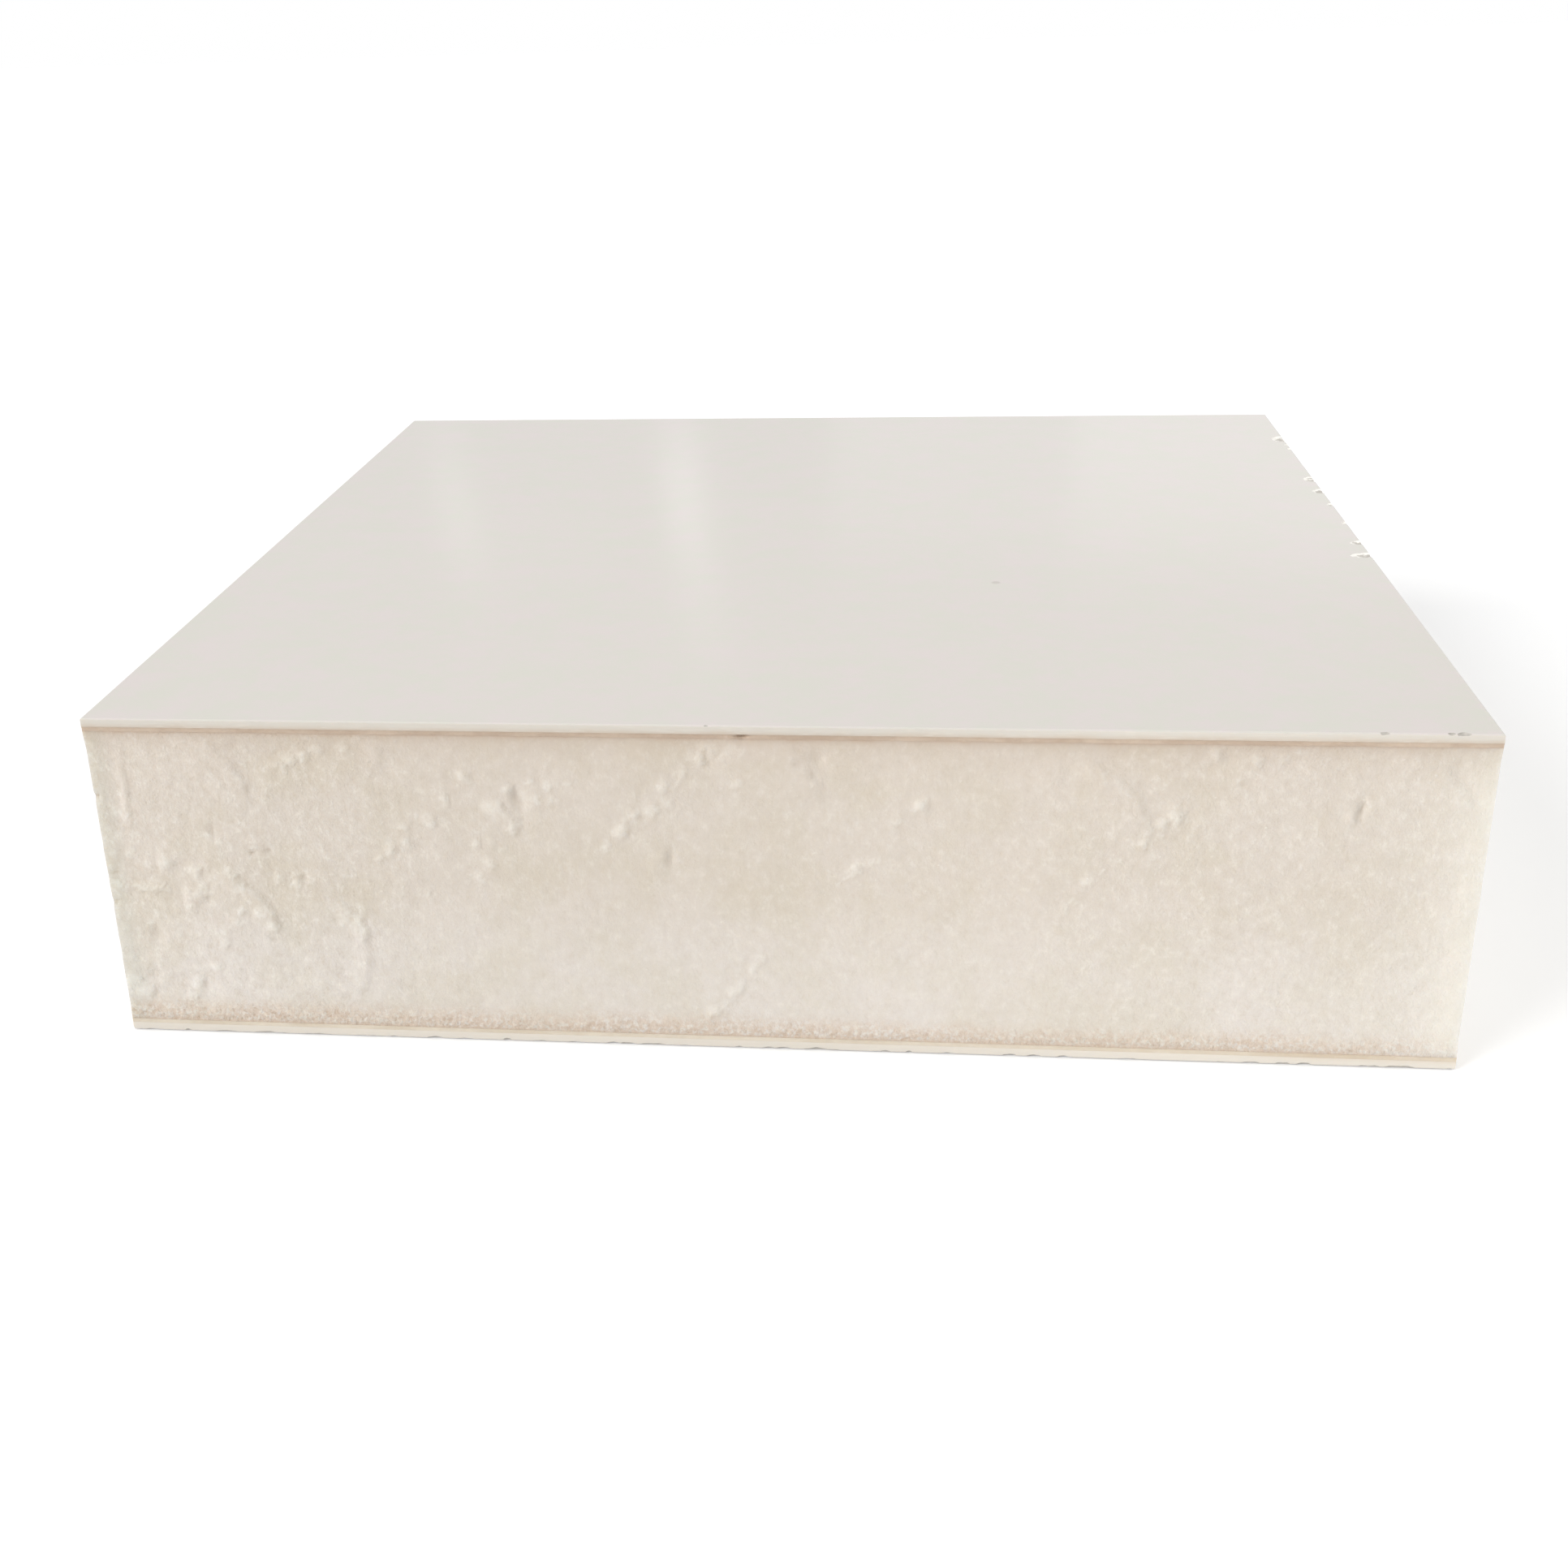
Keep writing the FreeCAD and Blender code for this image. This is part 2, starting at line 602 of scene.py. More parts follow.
        # The grain's own mottle, with painted highlight and painted shade on it.
        colour = self.grain_mottle_and_highlight.over(colour, grain, coarse)
        colour = self.grain_mottle_and_shade.over(colour, grain, coarse)
        # Painted glints on the cells.
        colour = self.painted_cell_glints.over(colour, cells, coarse)
        # Crumbs: paler broken cells, with painted highlight.
        colour = self.crumbs.over(colour, cells, crumb)
        # Painted shade in the deep hollows.
        colour = self.painted_hollow_shade.over(colour, hollow)

        ragged = self.fringe.bumps(place)
        above, under = height - self.bottom, self.top - height
        soaked = (above + ragged * self.fringe_below).ease(self.soak - self.shallower_right.of(x), 0)
        gritty = soaked * (self.grittiness + self.grittier_left.of(x))
        colour = self.resin.over(colour, self.speckle.at(place), soaked)
        # Painted shade on the low grains and painted glints on the raised ones, over their own colour.
        colour = self.dark_grit_and_shade.over(colour, granules, gritty)
        colour = self.pale_grit_and_glints.over(colour, granules, gritty)
        colour = self.glue.over(colour, (above + ragged).at_least(0))
        from_bond = (under + ragged * self.fringe_above).at_least(0)
        colour = graph.blend(1 / (1 + from_bond), colour, self.resin_above)

        # Painted glow near the right end, standing in for daylight soaking through the foam.
        from_end = (self.end - x) / self.painted_daylight_reach
        glow = self.painted_daylight_share + self.less_painted_daylight.of(height)
        colour = graph.blend(glow / (1 + from_end * from_end), colour, self.painted_daylight)
        # Painted brightness and shade along the length.
        colour = colour * sum((one.of(x) for one in self.brighter), 1.0)
        # Painted shade along the left end.
        colour = self.painted_left_shade.over(colour, x, self.painted_left_shade_front.of(y))

        bumps = self.grain.deep(grain) * coarse + self.granules.deep(granules) * gritty
        bumps = bumps + self.cells.deep(cells) * (coarse + soaked * self.soaked_cells)
        return self.principled(colour, bumps)


@dataclass(frozen=True)
class GelcoatFinish(Finish):
    """Glossy off-white gelcoat that is faintly mottled and not quite flat. level is its height."""

    roughness: float = 0.14
    level: float = 0.0
    base: Colour = srgb(221, 219, 208)
    mottle: Grain = Grain(16, 6, 0.8)
    clean: Tint = Tint(srgb(226, 217, 213), 0.35, 0.65)
    specks: tuple[Pair, ...] = ()
    dust: Tint = Tint(srgb(186, 178, 168), 1.5, 0.7, 0.45)
    waves: Grain = Grain(38, depth=0.05)
    ripples: Grain = Grain(3.2, depth=0.004)

    def shade(self, graph: Graph, place: Wire) -> Wire:
        """Write the gelcoat's nodes and give its shader."""
        colour = self.clean.over(self.base, self.mottle.at(place))
        for x, y in self.specks:
            colour = self.dust.over(colour, (place - (x, y, self.level)).length())
        return self.principled(colour, self.waves.bumps(place) + self.ripples.bumps(place))


@dataclass(frozen=True)
class EdgeFinish(Finish):
    """A finish of a thin sawn edge, made a little brighter towards the right end by painted light, and of
    another tint towards the right end.
    """

    scatter: float = 0.15
    end_tint: Triple = (1.0, 1.0, 1.0)
    end: Pair = (100.0, 125.0)
    # Painted light: how much brighter the edge gets towards the right end.
    sun: Ramp = Ramp(0, 90, 0.08)

    def tinted(self, colour: Wire, x: Wire, share: Any = 1.0) -> Wire:
        """The colour with the tint of the right end, by share."""
        return Tint(self.end_tint, *self.end).over(colour, x, share)

    def with_painted_light(self, colour: Wire, x: Wire) -> Wire:
        """The colour with painted light, brighter towards the right end."""
        return colour * (1 + self.sun.of(x))


@dataclass(frozen=True)
class LaminateEdgeFinish(EdgeFinish):
    """A skin's sawn edge: pale under the gelcoat, and browner towards the bond line."""

    outer_level: float = 0.0
    near_gelcoat: Colour = srgb(219, 213, 203)
    near_bond: Colour = srgb(210, 195, 177)
    inward: Ramp = Ramp(0.7, 2.4)
    wander: Grain = Grain(9, 3, 0.6, 1.2)
    strands: Grain = Grain(1.3, 3, 0.6, 0.02, (0.3, 0.3, 3.0))
    fibre: Tint = Tint(srgb(228, 221, 209), 0.5, 0.7, 0.4)
    sawn: Grain = Grain(0.8, depth=0.02)

    def shade(self, graph: Graph, place: Wire) -> Wire:
        """Write the laminate's nodes and give its shader."""
        x, _, height = place.parts()
        inward = self.inward.of(abs(height - self.outer_level) + self.wander.bumps(place))
        colour = self.tinted(graph.blend(inward, self.near_gelcoat, self.near_bond), x, inward)
        strands = self.strands.at(place)
        colour = self.with_painted_light(self.fibre.over(colour, strands), x)
        return self.principled(colour, self.strands.deep(strands) + self.sawn.bumps(place))


@dataclass(frozen=True)
class AdhesiveFinish(EdgeFinish):
    """A cured adhesive line, browner where it is thick."""

    roughness: float = 0.6
    scatter_radius: Triple = (1.0, 0.75, 0.5)
    thin: Colour = srgb(207, 187, 167)
    thick: Colour = srgb(191, 169, 149)
    runs: Grain = Grain(12, 4, 0.7, finer=(1.0, 1.0, 1.6))
    thicker: Ramp = Ramp(0.35, 0.65)
    sawn: Grain = Grain(1.2, 3, 0.6, 0.1)

    def shade(self, graph: Graph, place: Wire) -> Wire:
        """Write the adhesive's nodes and give its shader."""
        x = place.parts()[0]
        colour = graph.blend(self.thicker.of(self.runs.at(place)), self.thin, self.thick)
        return self.principled(self.with_painted_light(self.tinted(colour, x), x), self.sawn.bumps(place))


@dataclass(frozen=True)
class FractureFinish(Finish):
    """The face of a chip: white where it is shallow and fresh, with painted shade that makes it grey deep
    down and along the front.

    level is the height of the skin's outer face.
    """

    level: float = 0.0
    fresh: Colour = srgb(255, 252, 245)
    painted_deep_shade: Tint = Tint(srgb(196, 191, 183), 0.22, 0.5)
    painted_front_shade: Tint = Tint(srgb(196, 191, 183), -147, -149)
    shell: Grain = Grain(1.4, 3, 0.6, 0.12)
    uneven: float = 0.8

    def shade(self, graph: Graph, place: Wire) -> Wire:
        """Write the chip's nodes and give its shader."""
        _, y, z = place.parts()
        shell = self.shell.at(place)
        depth = abs(z - self.level) + (shell - 0.5) * self.uneven
        # Painted shade: grey deep in the chips and in the nicks along the front.
        colour = self.painted_front_shade.over(self.painted_deep_shade.over(self.fresh, depth), y)
        return self.principled(colour, self.shell.deep(shell))


@dataclass(frozen=True)
class FloorFinish(Finish):
    """A white floor that keeps the shadow on it and shows as white elsewhere."""

    paint: Colour = (0.86, 0.86, 0.86, 1.0)
    lift: float = 0.25

    def shade(self, graph: Graph, place: Wire) -> Wire:
        """Write the floor's nodes and give its shader."""
        matt = graph.node("ShaderNodeBsdfDiffuse", {}, {"Color": self.paint})
        seen = graph.node("ShaderNodeLightPath", {}, {}, "Is Camera Ray")
        glow = graph.node("ShaderNodeEmission", {}, {"Strength": seen * self.lift})
        return graph.node("ShaderNodeAddShader", {}, {0: matt, 1: glow})


# ---------------------------------------------------------------------------------------------
# Marks on the sawn sides
# ---------------------------------------------------------------------------------------------


class Side(Enum):
    """A sawn side of the panel, by its outward normal."""

    FRONT = (0, -1)
    RIGHT = (1, 0)
    BACK = (0, 1)
    LEFT = (-1, 0)

    @property
    def along(self) -> tuple[int, int]:
        """The direction that runs left to right for someone who faces the side."""
        x, y = self.value
        return (-y, x)


class MarkShapes:
    """The node groups that draw one mark each, for the tree of a sawn block to use many times."""

    # The share of a dent's reach that is at its full depth, and of an arc's spread at its full
    # rise; how far an arc's step lies outside and inside its radius; and a crumb's own sizes.
    DENT_FLOOR = 0.1
    FULL_SPREAD = 0.5
    STEP_OUTSIDE, STEP_INSIDE = 0.9, 0.3
    CRUMB_SIZES = (0.5, 1.25)

    def __init__(self) -> None:
        """Build the three groups."""
        self.dent, self.arc, self.tear = self._dent(), self._arc(), self._tear()

    def draw(self, mark: "Dent | SawArc", before: Any, point: Wire) -> Wire:
        """Add a mark's own depth to the depth before it.

        Args:
            mark: The mark.
            before: The depth before it.
            point: The point on the mark's side, by its place along the side and its height.

        Returns:
            The depth with the mark.
        """
        group = self.arc if isinstance(mark, SawArc) else self.dent
        return group.use(point.graph, {"Before": before, "Point": point, **mark.inputs()})

    def _dent(self) -> NodeGroup:
        """An oval that adds its depth to the depth before it."""
        kinds = {"Before": Kind.NUMBER, "Point": Kind.TRIPLE, "Centre": Kind.TRIPLE, "Reach": Kind.TRIPLE}
        group = NodeGroup("oval_dent", {**kinds, "Lean": Kind.NUMBER, "Depth": Kind.NUMBER}, Kind.NUMBER)
        inputs = group.inputs
        turned = group.graph.turned_back(inputs["Point"] - inputs["Centre"], inputs["Lean"])
        oval = (turned / inputs["Reach"]).length().ease(1, self.DENT_FLOOR)
        group.close(inputs["Before"] + oval * inputs["Depth"])
        return group

    def _arc(self) -> NodeGroup:
        """A raised shoulder that ends in a curved step, taken from the depth before it."""
        kinds = {"Before": Kind.NUMBER, "Point": Kind.TRIPLE, "Centre": Kind.TRIPLE}
        sizes = ("Radius", "Facing", "Spread", "Rise", "Shoulder")
        group = NodeGroup("saw_arc", kinds | dict.fromkeys(sizes, Kind.NUMBER), Kind.NUMBER)
        graph, inputs = group.graph, group.inputs
        turned = graph.turned_back(inputs["Point"] - inputs["Centre"], inputs["Facing"])
        ahead, aside, _ = turned.parts()
        angle = abs(graph.node("ShaderNodeMath", {"operation": "ARCTAN2"}, {0: aside, 1: ahead}))
        distance, radius = turned.length(), inputs["Radius"]
        window = angle.ease(inputs["Spread"], inputs["Spread"] * self.FULL_SPREAD)
        step = distance.ease(radius + self.STEP_OUTSIDE, radius - self.STEP_INSIDE)
        slope = distance.ease(radius - inputs["Shoulder"], radius)
        group.close(inputs["Before"] - window * step * slope * inputs["Rise"])
        return group

    def _tear(self) -> NodeGroup:
        """The middles of a row of crumbs, each with its size."""
        kinds = {"Start": Kind.TRIPLE, "End": Kind.TRIPLE, "Jitter": Kind.TRIPLE}
        counts = {"Crumbs": Kind.COUNT, "Seed": Kind.COUNT}
        group = NodeGroup("crumb_row", {**kinds, **counts, "Size": Kind.NUMBER}, Kind.SHAPE)
        graph, inputs = group.graph, group.inputs
        line = graph.shape("CurvePrimitiveLine", Start=inputs["Start"], End=inputs["End"])
        even = graph.shape("ResampleCurve", Curve=line, Count=inputs["Crumbs"])
        points = graph.node("GeometryNodeCurveToPoints", {"mode": "EVALUATED"}, {"Curve": even})
        shift = graph.chance((-1.0, -1.0, -1.0), (1.0, 1.0, 1.0), inputs["Seed"]) * inputs["Jitter"]
        spread = graph.shape("SetPosition", Geometry=points, Offset=shift)
        size = graph.chance(*self.CRUMB_SIZES, inputs["Seed"] + 1.0) * inputs["Size"]
        group.close(graph.store(spread, "size", "FLOAT", size))
        return group


@dataclass(frozen=True)
class Tear:
    """A row of crumbs that a saw tooth dragged out of the foam.

    Its ends are measured along the side from its middle, and up from the panel's base. jitter is
    how far the crumbs stray from the row, as a share of their size.
    """

    start: Pair
    end: Pair
    crumbs: int = 1
    size: float = 1.3
    side: Side = Side.FRONT
    jitter: float = 0.5

    def points(self, graph: Graph, shapes: MarkShapes, reach: Vector, seed: int) -> Wire:
        """The middles of the crumbs.

        Args:
            graph: The tree to add them to.
            shapes: The node groups.
            reach: Half the block's size, in metres.
            seed: The row's own seed.

        Returns:
            A cloud of points, each with its size.
        """
        (nx, ny), (ax, ay) = self.side.value, self.side.along
        face = Vector((nx * reach.x, ny * reach.y, 0))
        start, end = (
            tuple(face + Vector((ax * across, ay * across, up)) * MM)
            for across, up in (self.start, self.end)
        )
        jitter = self.jitter * self.size * MM
        values = {
            "Start": start,
            "End": end,
            "Jitter": (abs(ax) * jitter, abs(ay) * jitter, jitter),
            "Crumbs": self.crumbs,
            "Seed": seed,
            "Size": self.size,
        }
        return shapes.tear.use(graph, values)


@dataclass(frozen=True)
class Dent:
    """An oval hollow, or with a negative depth an oval lump, on a side. Its lean is in degrees."""

    centre: Pair
    reach: Pair
    depth: float
    lean: float = 0.0
    side: Side = Side.FRONT

    def inputs(self) -> dict[str, Any]:
        """The values of its node group's own inputs."""
        return {
            "Centre": (*self.centre, 0.0),
            "Reach": (*self.reach, 1.0),
            "Lean": math.radians(self.lean),
            "Depth": self.depth,
        }


@dataclass(frozen=True)
class SawArc:
    """A curved step that the saw left: the foam inside it stands proud, and slopes away behind.

    facing is the direction from the centre to the middle of the arc, and spread is half the
    arc's angle, both in degrees.
    """

    centre: Pair
    radius: float
    facing: float
    spread: float
    rise: float
    shoulder: float = 11.0
    side: Side = Side.FRONT

    def inputs(self) -> dict[str, Any]:
        """The values of its node group's own inputs."""
        return {
            "Centre": (*self.centre, 0.0),
            "Radius": self.radius,
            "Facing": math.radians(self.facing),
            "Spread": math.radians(self.spread),
            "Rise": self.rise,
            "Shoulder": self.shoulder,
        }


# The front side's marks, listed one by one. The other sides get theirs by chance, in the same kinds.
FRONT_TEARS = [
    Tear((-114.2, 61.4), (-112.8, 63.6), 2, 1.8),
    Tear((-108.0, 68.0), (-106.0, 69.4), 2, 2.5),
    Tear((-102.6, 71.6), (-96.6, 75.8), 3, 1.2),
    Tear((-93.0, 74.0), (-89.0, 76.6), 3, 1.2),
    Tear((-87.2, 47.0), (-86.4, 47.6), 1, 1.5),
    Tear((-83.4, 49.8), (-79.4, 53.8), 3, 1.9),
    Tear((-75.2, 56.4), (-74.2, 57.2), 1, 1.7),
    Tear((-77.0, 38.6), (-76.0, 39.6), 1, 1.7),
    Tear((-70.4, 61.0), (-65.6, 67.4), 3, 1.6),
    Tear((-65.0, 50.9), (-64.2, 51.6), 1, 1.4),
    Tear((-60.6, 52.4), (-58.8, 49.6), 2, 1.4),
    Tear((-61.2, 46.2), (-63.4, 41.8), 3, 1.2),
    Tear((-56.4, 54.2), (-55.2, 56.0), 2, 1.7),
    Tear((-61.8, 60.6), (-57.6, 57.8), 3, 1.7),
    Tear((-56.9, 61.8), (-56.2, 64.4), 2, 1.2),
    Tear((-50.8, 64.9), (-50.2, 61.6), 2, 1.3),
    Tear((-48.0, 64.6), (-47.2, 62.2), 2, 1.3),
    Tear((-45.6, 65.4), (-43.6, 65.0), 2, 1.5),
    Tear((-34.6, 50.6), (-34.0, 51.2), 1, 1.4),
    Tear((-32.0, 53.4), (-31.4, 54.4), 1, 1.8),
    Tear((-29.8, 54.4), (-28.6, 57.6), 2, 1.8),
    Tear((-25.4, 60.4), (-24.4, 61.4), 1, 2.2),
    Tear((-22.2, 62.0), (-21.6, 65.0), 2, 1.9),
    Tear((-18.0, 66.9), (-17.2, 69.4), 2, 1.6),
    Tear((-13.4, 71.8), (-11.2, 73.7), 2, 1.9),
    Tear((-7.0, 74.6), (-5.2, 75.2), 2, 1.8),
    Tear((-4.8, 65.7), (-4.2, 66.2), 1, 2.1),
    Tear((-12.4, 7.8), (-6.8, 15.0), 5, 1.8),
    Tear((-5.4, 17.0), (1.0, 25.6), 4, 1.2),
    Tear((-19.3, 19.5), (-18.3, 19.5), 1, 1.9),
    Tear((-140.2, 3.2), (-138.4, 5.2), 2, 1.1),
    Tear((-135.2, 9.6), (-134.4, 12.6), 2, 1.7),
    Tear((-132.6, 17.3), (-130.2, 17.0), 2, 1.5),
    Tear((-127.4, 24.6), (-126.2, 26.8), 2, 1.4),
    Tear((-124.0, 28.2), (-120.4, 32.6), 3, 1.2),
    Tear((16.4, 42.8), (24.8, 49.0), 6, 0.9),
    Tear((20.4, 46.6), (23.4, 48.0), 2, 1.1),
    Tear((28.8, 57.0), (31.2, 59.2), 3, 1.1),
    Tear((34.6, 60.7), (35.6, 62.3), 2, 1.5),
    Tear((65.2, 37.9), (75.6, 50.0), 8, 1.1),
    Tear((82.0, 54.0), (85.0, 57.4), 3, 1.6),
    Tear((86.6, 59.2), (87.6, 61.0), 2, 2.1),
    Tear((101.2, 68.8), (104.2, 72.4), 3, 1.5),
    Tear((96.4, 75.0), (97.2, 75.6), 1, 2.6),
    Tear((108.0, 73.6), (112.2, 75.4), 3, 1.2),
    Tear((-133.4, 33.6), (-130.8, 38.8), 3, 1.9),
    Tear((-130.4, 41.2), (-128.6, 43.6), 2, 1.8),
    Tear((-122.6, 41.8), (-118.6, 36.0), 3, 1.4),
    Tear((-138.0, 43.8), (-136.6, 42.8), 1, 1.8),
    Tear((-145.4, 46.2), (-144.6, 47.4), 1, 2.3),
    Tear((-110.4, 41.0), (-109.9, 41.2), 1, 1.3),
    Tear((-107.9, 40.4), (-107.5, 40.8), 1, 1.2),
    Tear((-150.2, 14.2), (-148.4, 10.6), 2, 1.8),
    Tear((-99.4, 8.0), (-98.6, 3.4), 4, 1.0),
    Tear((-97.6, 31.8), (-92.8, 28.6), 5, 2.4),
    Tear((-117.2, 32.6), (-113.6, 29.4), 4, 1.5),
    Tear((-150.6, 38.5), (-137.4, 37.9), 12, 1.1),
]

FRONT_DENTS = [
    Dent((-54.4, 61.8), (2.1, 4.6), 0.60, 14),
    Dent((-54.0, 56.2), (1.0, 2.6), 0.35, 0),
    Dent((-58.6, 57.9), (5.4, 2.0), -0.5, -38),
    Dent((2.5, 74.0), (9.0, 2.6), -0.85, -14),
    Dent((12.0, 72.6), (2.4, 3.0), 0.30, 0),
    Dent((125.8, 62.2), (1.1, 4.2), 0.60, -4),
    Dent((123.8, 60.4), (1.4, 3.6), -0.35, -10),
    Dent((-20.9, 48.5), (1.3, 3.2), 0.42, -12),
    Dent((-25.6, 58.6), (2.4, 0.9), 0.35, 24),
    Dent((-24.0, 46.8), (3.4, 4.6), -0.30, -20),
    Dent((-117.2, 47.3), (2.2, 1.0), 0.60, 6),
    Dent((-113.6, 47.5), (2.0, 0.9), 0.50, 6),
    Dent((-109.2, 41.0), (1.1, 2.0), 0.45, 10),
    Dent((-105.4, 41.2), (1.3, 1.8), 0.50, 0),
    Dent((-143.0, 25.9), (2.4, 3.0), 0.45, 0),
    Dent((-144.9, 16.0), (2.2, 2.2), 0.45, 10),
    Dent((-144.4, 37.8), (8.6, 1.2), -0.42, -2),
    Dent((-150.8, 41.6), (2.8, 0.8), 0.55, 8),
    Dent((-150.2, 39.9), (3.0, 0.7), 0.50, 4),
    Dent((-151.6, 33.9), (1.8, 0.8), 0.60, 0),
    Dent((-152.2, 60.4), (1.4, 1.5), 0.90, 0),
    Dent((-145.2, 60.6), (1.5, 13.0), -0.46, -1),
    Dent((-125.8, 52.8), (1.0, 3.6), 0.45, 4),
    Dent((-133.0, 35.8), (2.8, 5.2), -0.42, -10),
    Dent((-115.2, 30.4), (3.4, 1.5), -0.45, -50),
    Dent((-95.4, 29.8), (3.6, 1.5), -0.50, -34),
    Dent((-91.4, 26.8), (1.0, 3.0), 0.16, -8),
    Dent((-86.0, 72.4), (2.4, 3.6), -0.30, 20),
    Dent((-4.5, 77.1), (1.6, 1.3), 1.00, 0),
    Dent((94.0, 14.0), (8.0, 0.8), -0.16, 2),
    Dent((131.0, 11.6), (10.0, 0.9), -0.16, -3),
]

FRONT_ARCS = [
    SawArc((-8.0, 50.0), 25.6, 66, 36, 0.75),
    SawArc((60.6, 50.0), 23.6, 44, 34, 0.42),
    SawArc((126.0, 52.0), 25.0, 50, 34, 0.36),
    SawArc((-107.4, 21.0), 15.0, -6, 44, 0.30, 6.0),
    SawArc((-135.0, 20.0), 24.0, 44, 30, 0.55, 5.0),
    SawArc((-131.0, 60.0), 14.6, 48, 62, 0.36, 4.0),
]


@dataclass
class ScatteredMarks:
    """Marks by chance on a side that has none placed by hand.

    half is half the side's length. A pair is the lowest and the highest that chance may give.
    """

    side: Side
    half: float
    chance: random.Random
    margin: float = 12.0
    tear_count: int = 10
    tear_heights: Pair = (8, 58)
    tear_leans: Pair = (38, 56)
    tear_lengths: Pair = (3, 20)
    tear_top: float = 74.0
    crumb_sizes: Pair = (0.9, 1.6)
    crumb_pitch: float = 1.6
    dent_count: int = 14
    dent_heights: Pair = (10, 72)
    dent_widths: Pair = (0.9, 4.5)
    dent_drops: Pair = (0.8, 2.6)
    dent_depths: tuple[float, ...] = (-0.35, -0.3, -0.25, 0.3, 0.4, 0.7)
    dent_leans: Pair = (-50, 50)
    arc_pitch: float = 68.0
    arc_level: float = 50.0
    arc_radius: float = 25.0
    arc_facing: float = 56.0
    arc_spread: float = 36.0
    arc_rises: Pair = (0.2, 0.4)

    def _somewhere(self, heights: Pair) -> Pair:
        """A point on the side, by its place along it and its height."""
        across = self.chance.uniform(self.margin - self.half, self.half - self.margin)
        return (across, self.chance.uniform(*heights))

    def tears(self) -> list[Tear]:
        """Rows of crumbs that lean as the saw did."""
        made = []
        for _ in range(self.tear_count):
            start = self._somewhere(self.tear_heights)
            lean = math.radians(self.chance.uniform(*self.tear_leans))
            room = (self.tear_top - start[1]) / math.sin(lean)
            length = min(self.chance.uniform(*self.tear_lengths), room)
            end = (start[0] + length * math.cos(lean), start[1] + length * math.sin(lean))
            size = self.chance.uniform(*self.crumb_sizes)
            crumbs = 2 + round(length / (self.crumb_pitch * size))
            made.append(Tear(start, end, crumbs, size, self.side))
        return made

    def dents(self) -> list[Dent]:
        """Hollows and lumps of several sizes."""
        made = []
        for _ in range(self.dent_count):
            reach = (self.chance.uniform(*self.dent_widths), self.chance.uniform(*self.dent_drops))
            depth = self.chance.choice(self.dent_depths)
            centre = self._somewhere(self.dent_heights)
            made.append(Dent(centre, reach, depth, self.chance.uniform(*self.dent_leans), self.side))
        return made

    def arcs(self) -> list[SawArc]:
        """Saw arcs at the even pitch that the saw's stroke gave."""
        first = self.chance.uniform(-self.half, self.arc_pitch - self.half)
        return [
            SawArc(
                (first + number * self.arc_pitch, self.arc_level),
                self.arc_radius,
                self.arc_facing,
                self.arc_spread,
                self.chance.uniform(*self.arc_rises),
                side=self.side,
            )
            for number in range(int(2 * self.half // self.arc_pitch))
        ]


# ---------------------------------------------------------------------------------------------
# The panel's layers
# ---------------------------------------------------------------------------------------------


def new_object(name: str, data: Any) -> bpy.types.Object:
    """Make an object at the origin for a mesh, a light or a camera, and put it in the scene."""
    made = bpy.data.objects.new(name, data)
    bpy.context.scene.collection.objects.link(made)
    return made


def new_piece(name: str, corners: list[Triple], faces: list[tuple[int, ...]]) -> bpy.types.Object:
    """Make an object at the origin with a mesh, and put it in the scene.

    Args:
        name: The name of both.
        corners: The mesh's corners, in metres.
        faces: The numbers of each face's corners, anticlockwise from outside.

    Returns:
        The object.
    """
    mesh = bpy.data.meshes.new(name)
    mesh.from_pydata(corners, [], faces)
    return new_object(name, mesh)


def walls(rings: int, around: int) -> list[tuple[int, ...]]:
    """Join rings of corners, from the lowest up, each anticlockwise from above.

    Args:
        rings: How many rings there are.
        around: How many corners each one has.

    Returns:
        The faces between them, which point outwards.
    """
    faces = []
    for base in range(0, (rings - 1) * around, around):
        for column in range(around):
            first, second = base + column, base + (column + 1) % around
            faces.append((first, second, second + around, first + around))
    return faces


def even_steps(low: float, high: float, count: int) -> list[float]:
    """The count points that lead from low to high in even steps, without high itself."""
    return [low + (high - low) * number / count for number in range(count)]


def hand_over(piece: bpy.types.Object, node: str) -> None:
    """Tie a finished piece to the frame in place of the CAD node that it dresses.

    Args:
        piece: The finished piece.
        node: The CAD node that it stands for.
    """
    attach(piece, BODY)
    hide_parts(node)
    triangles = sum(len(face.vertices) - 2 for face in piece.data.polygons)
    LOG.info("%s stands for %s: %d triangles", piece.name, node, triangles)


@dataclass
class Layer:
    """One layer of the panel, by its CAD node and its own name."""

    node: str
    name: str

    def __post_init__(self) -> None:
        """Read the layer's corners, in metres, from the frame."""
        self.low, self.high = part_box(self.node)

    def build(self) -> bpy.types.Object:
        """Make the layer's plain mesh."""
        raise NotImplementedError

    def dress(self, piece: bpy.types.Object) -> None:
        """Shape the surface of the layer's mesh and give it its finish."""
        raise NotImplementedError


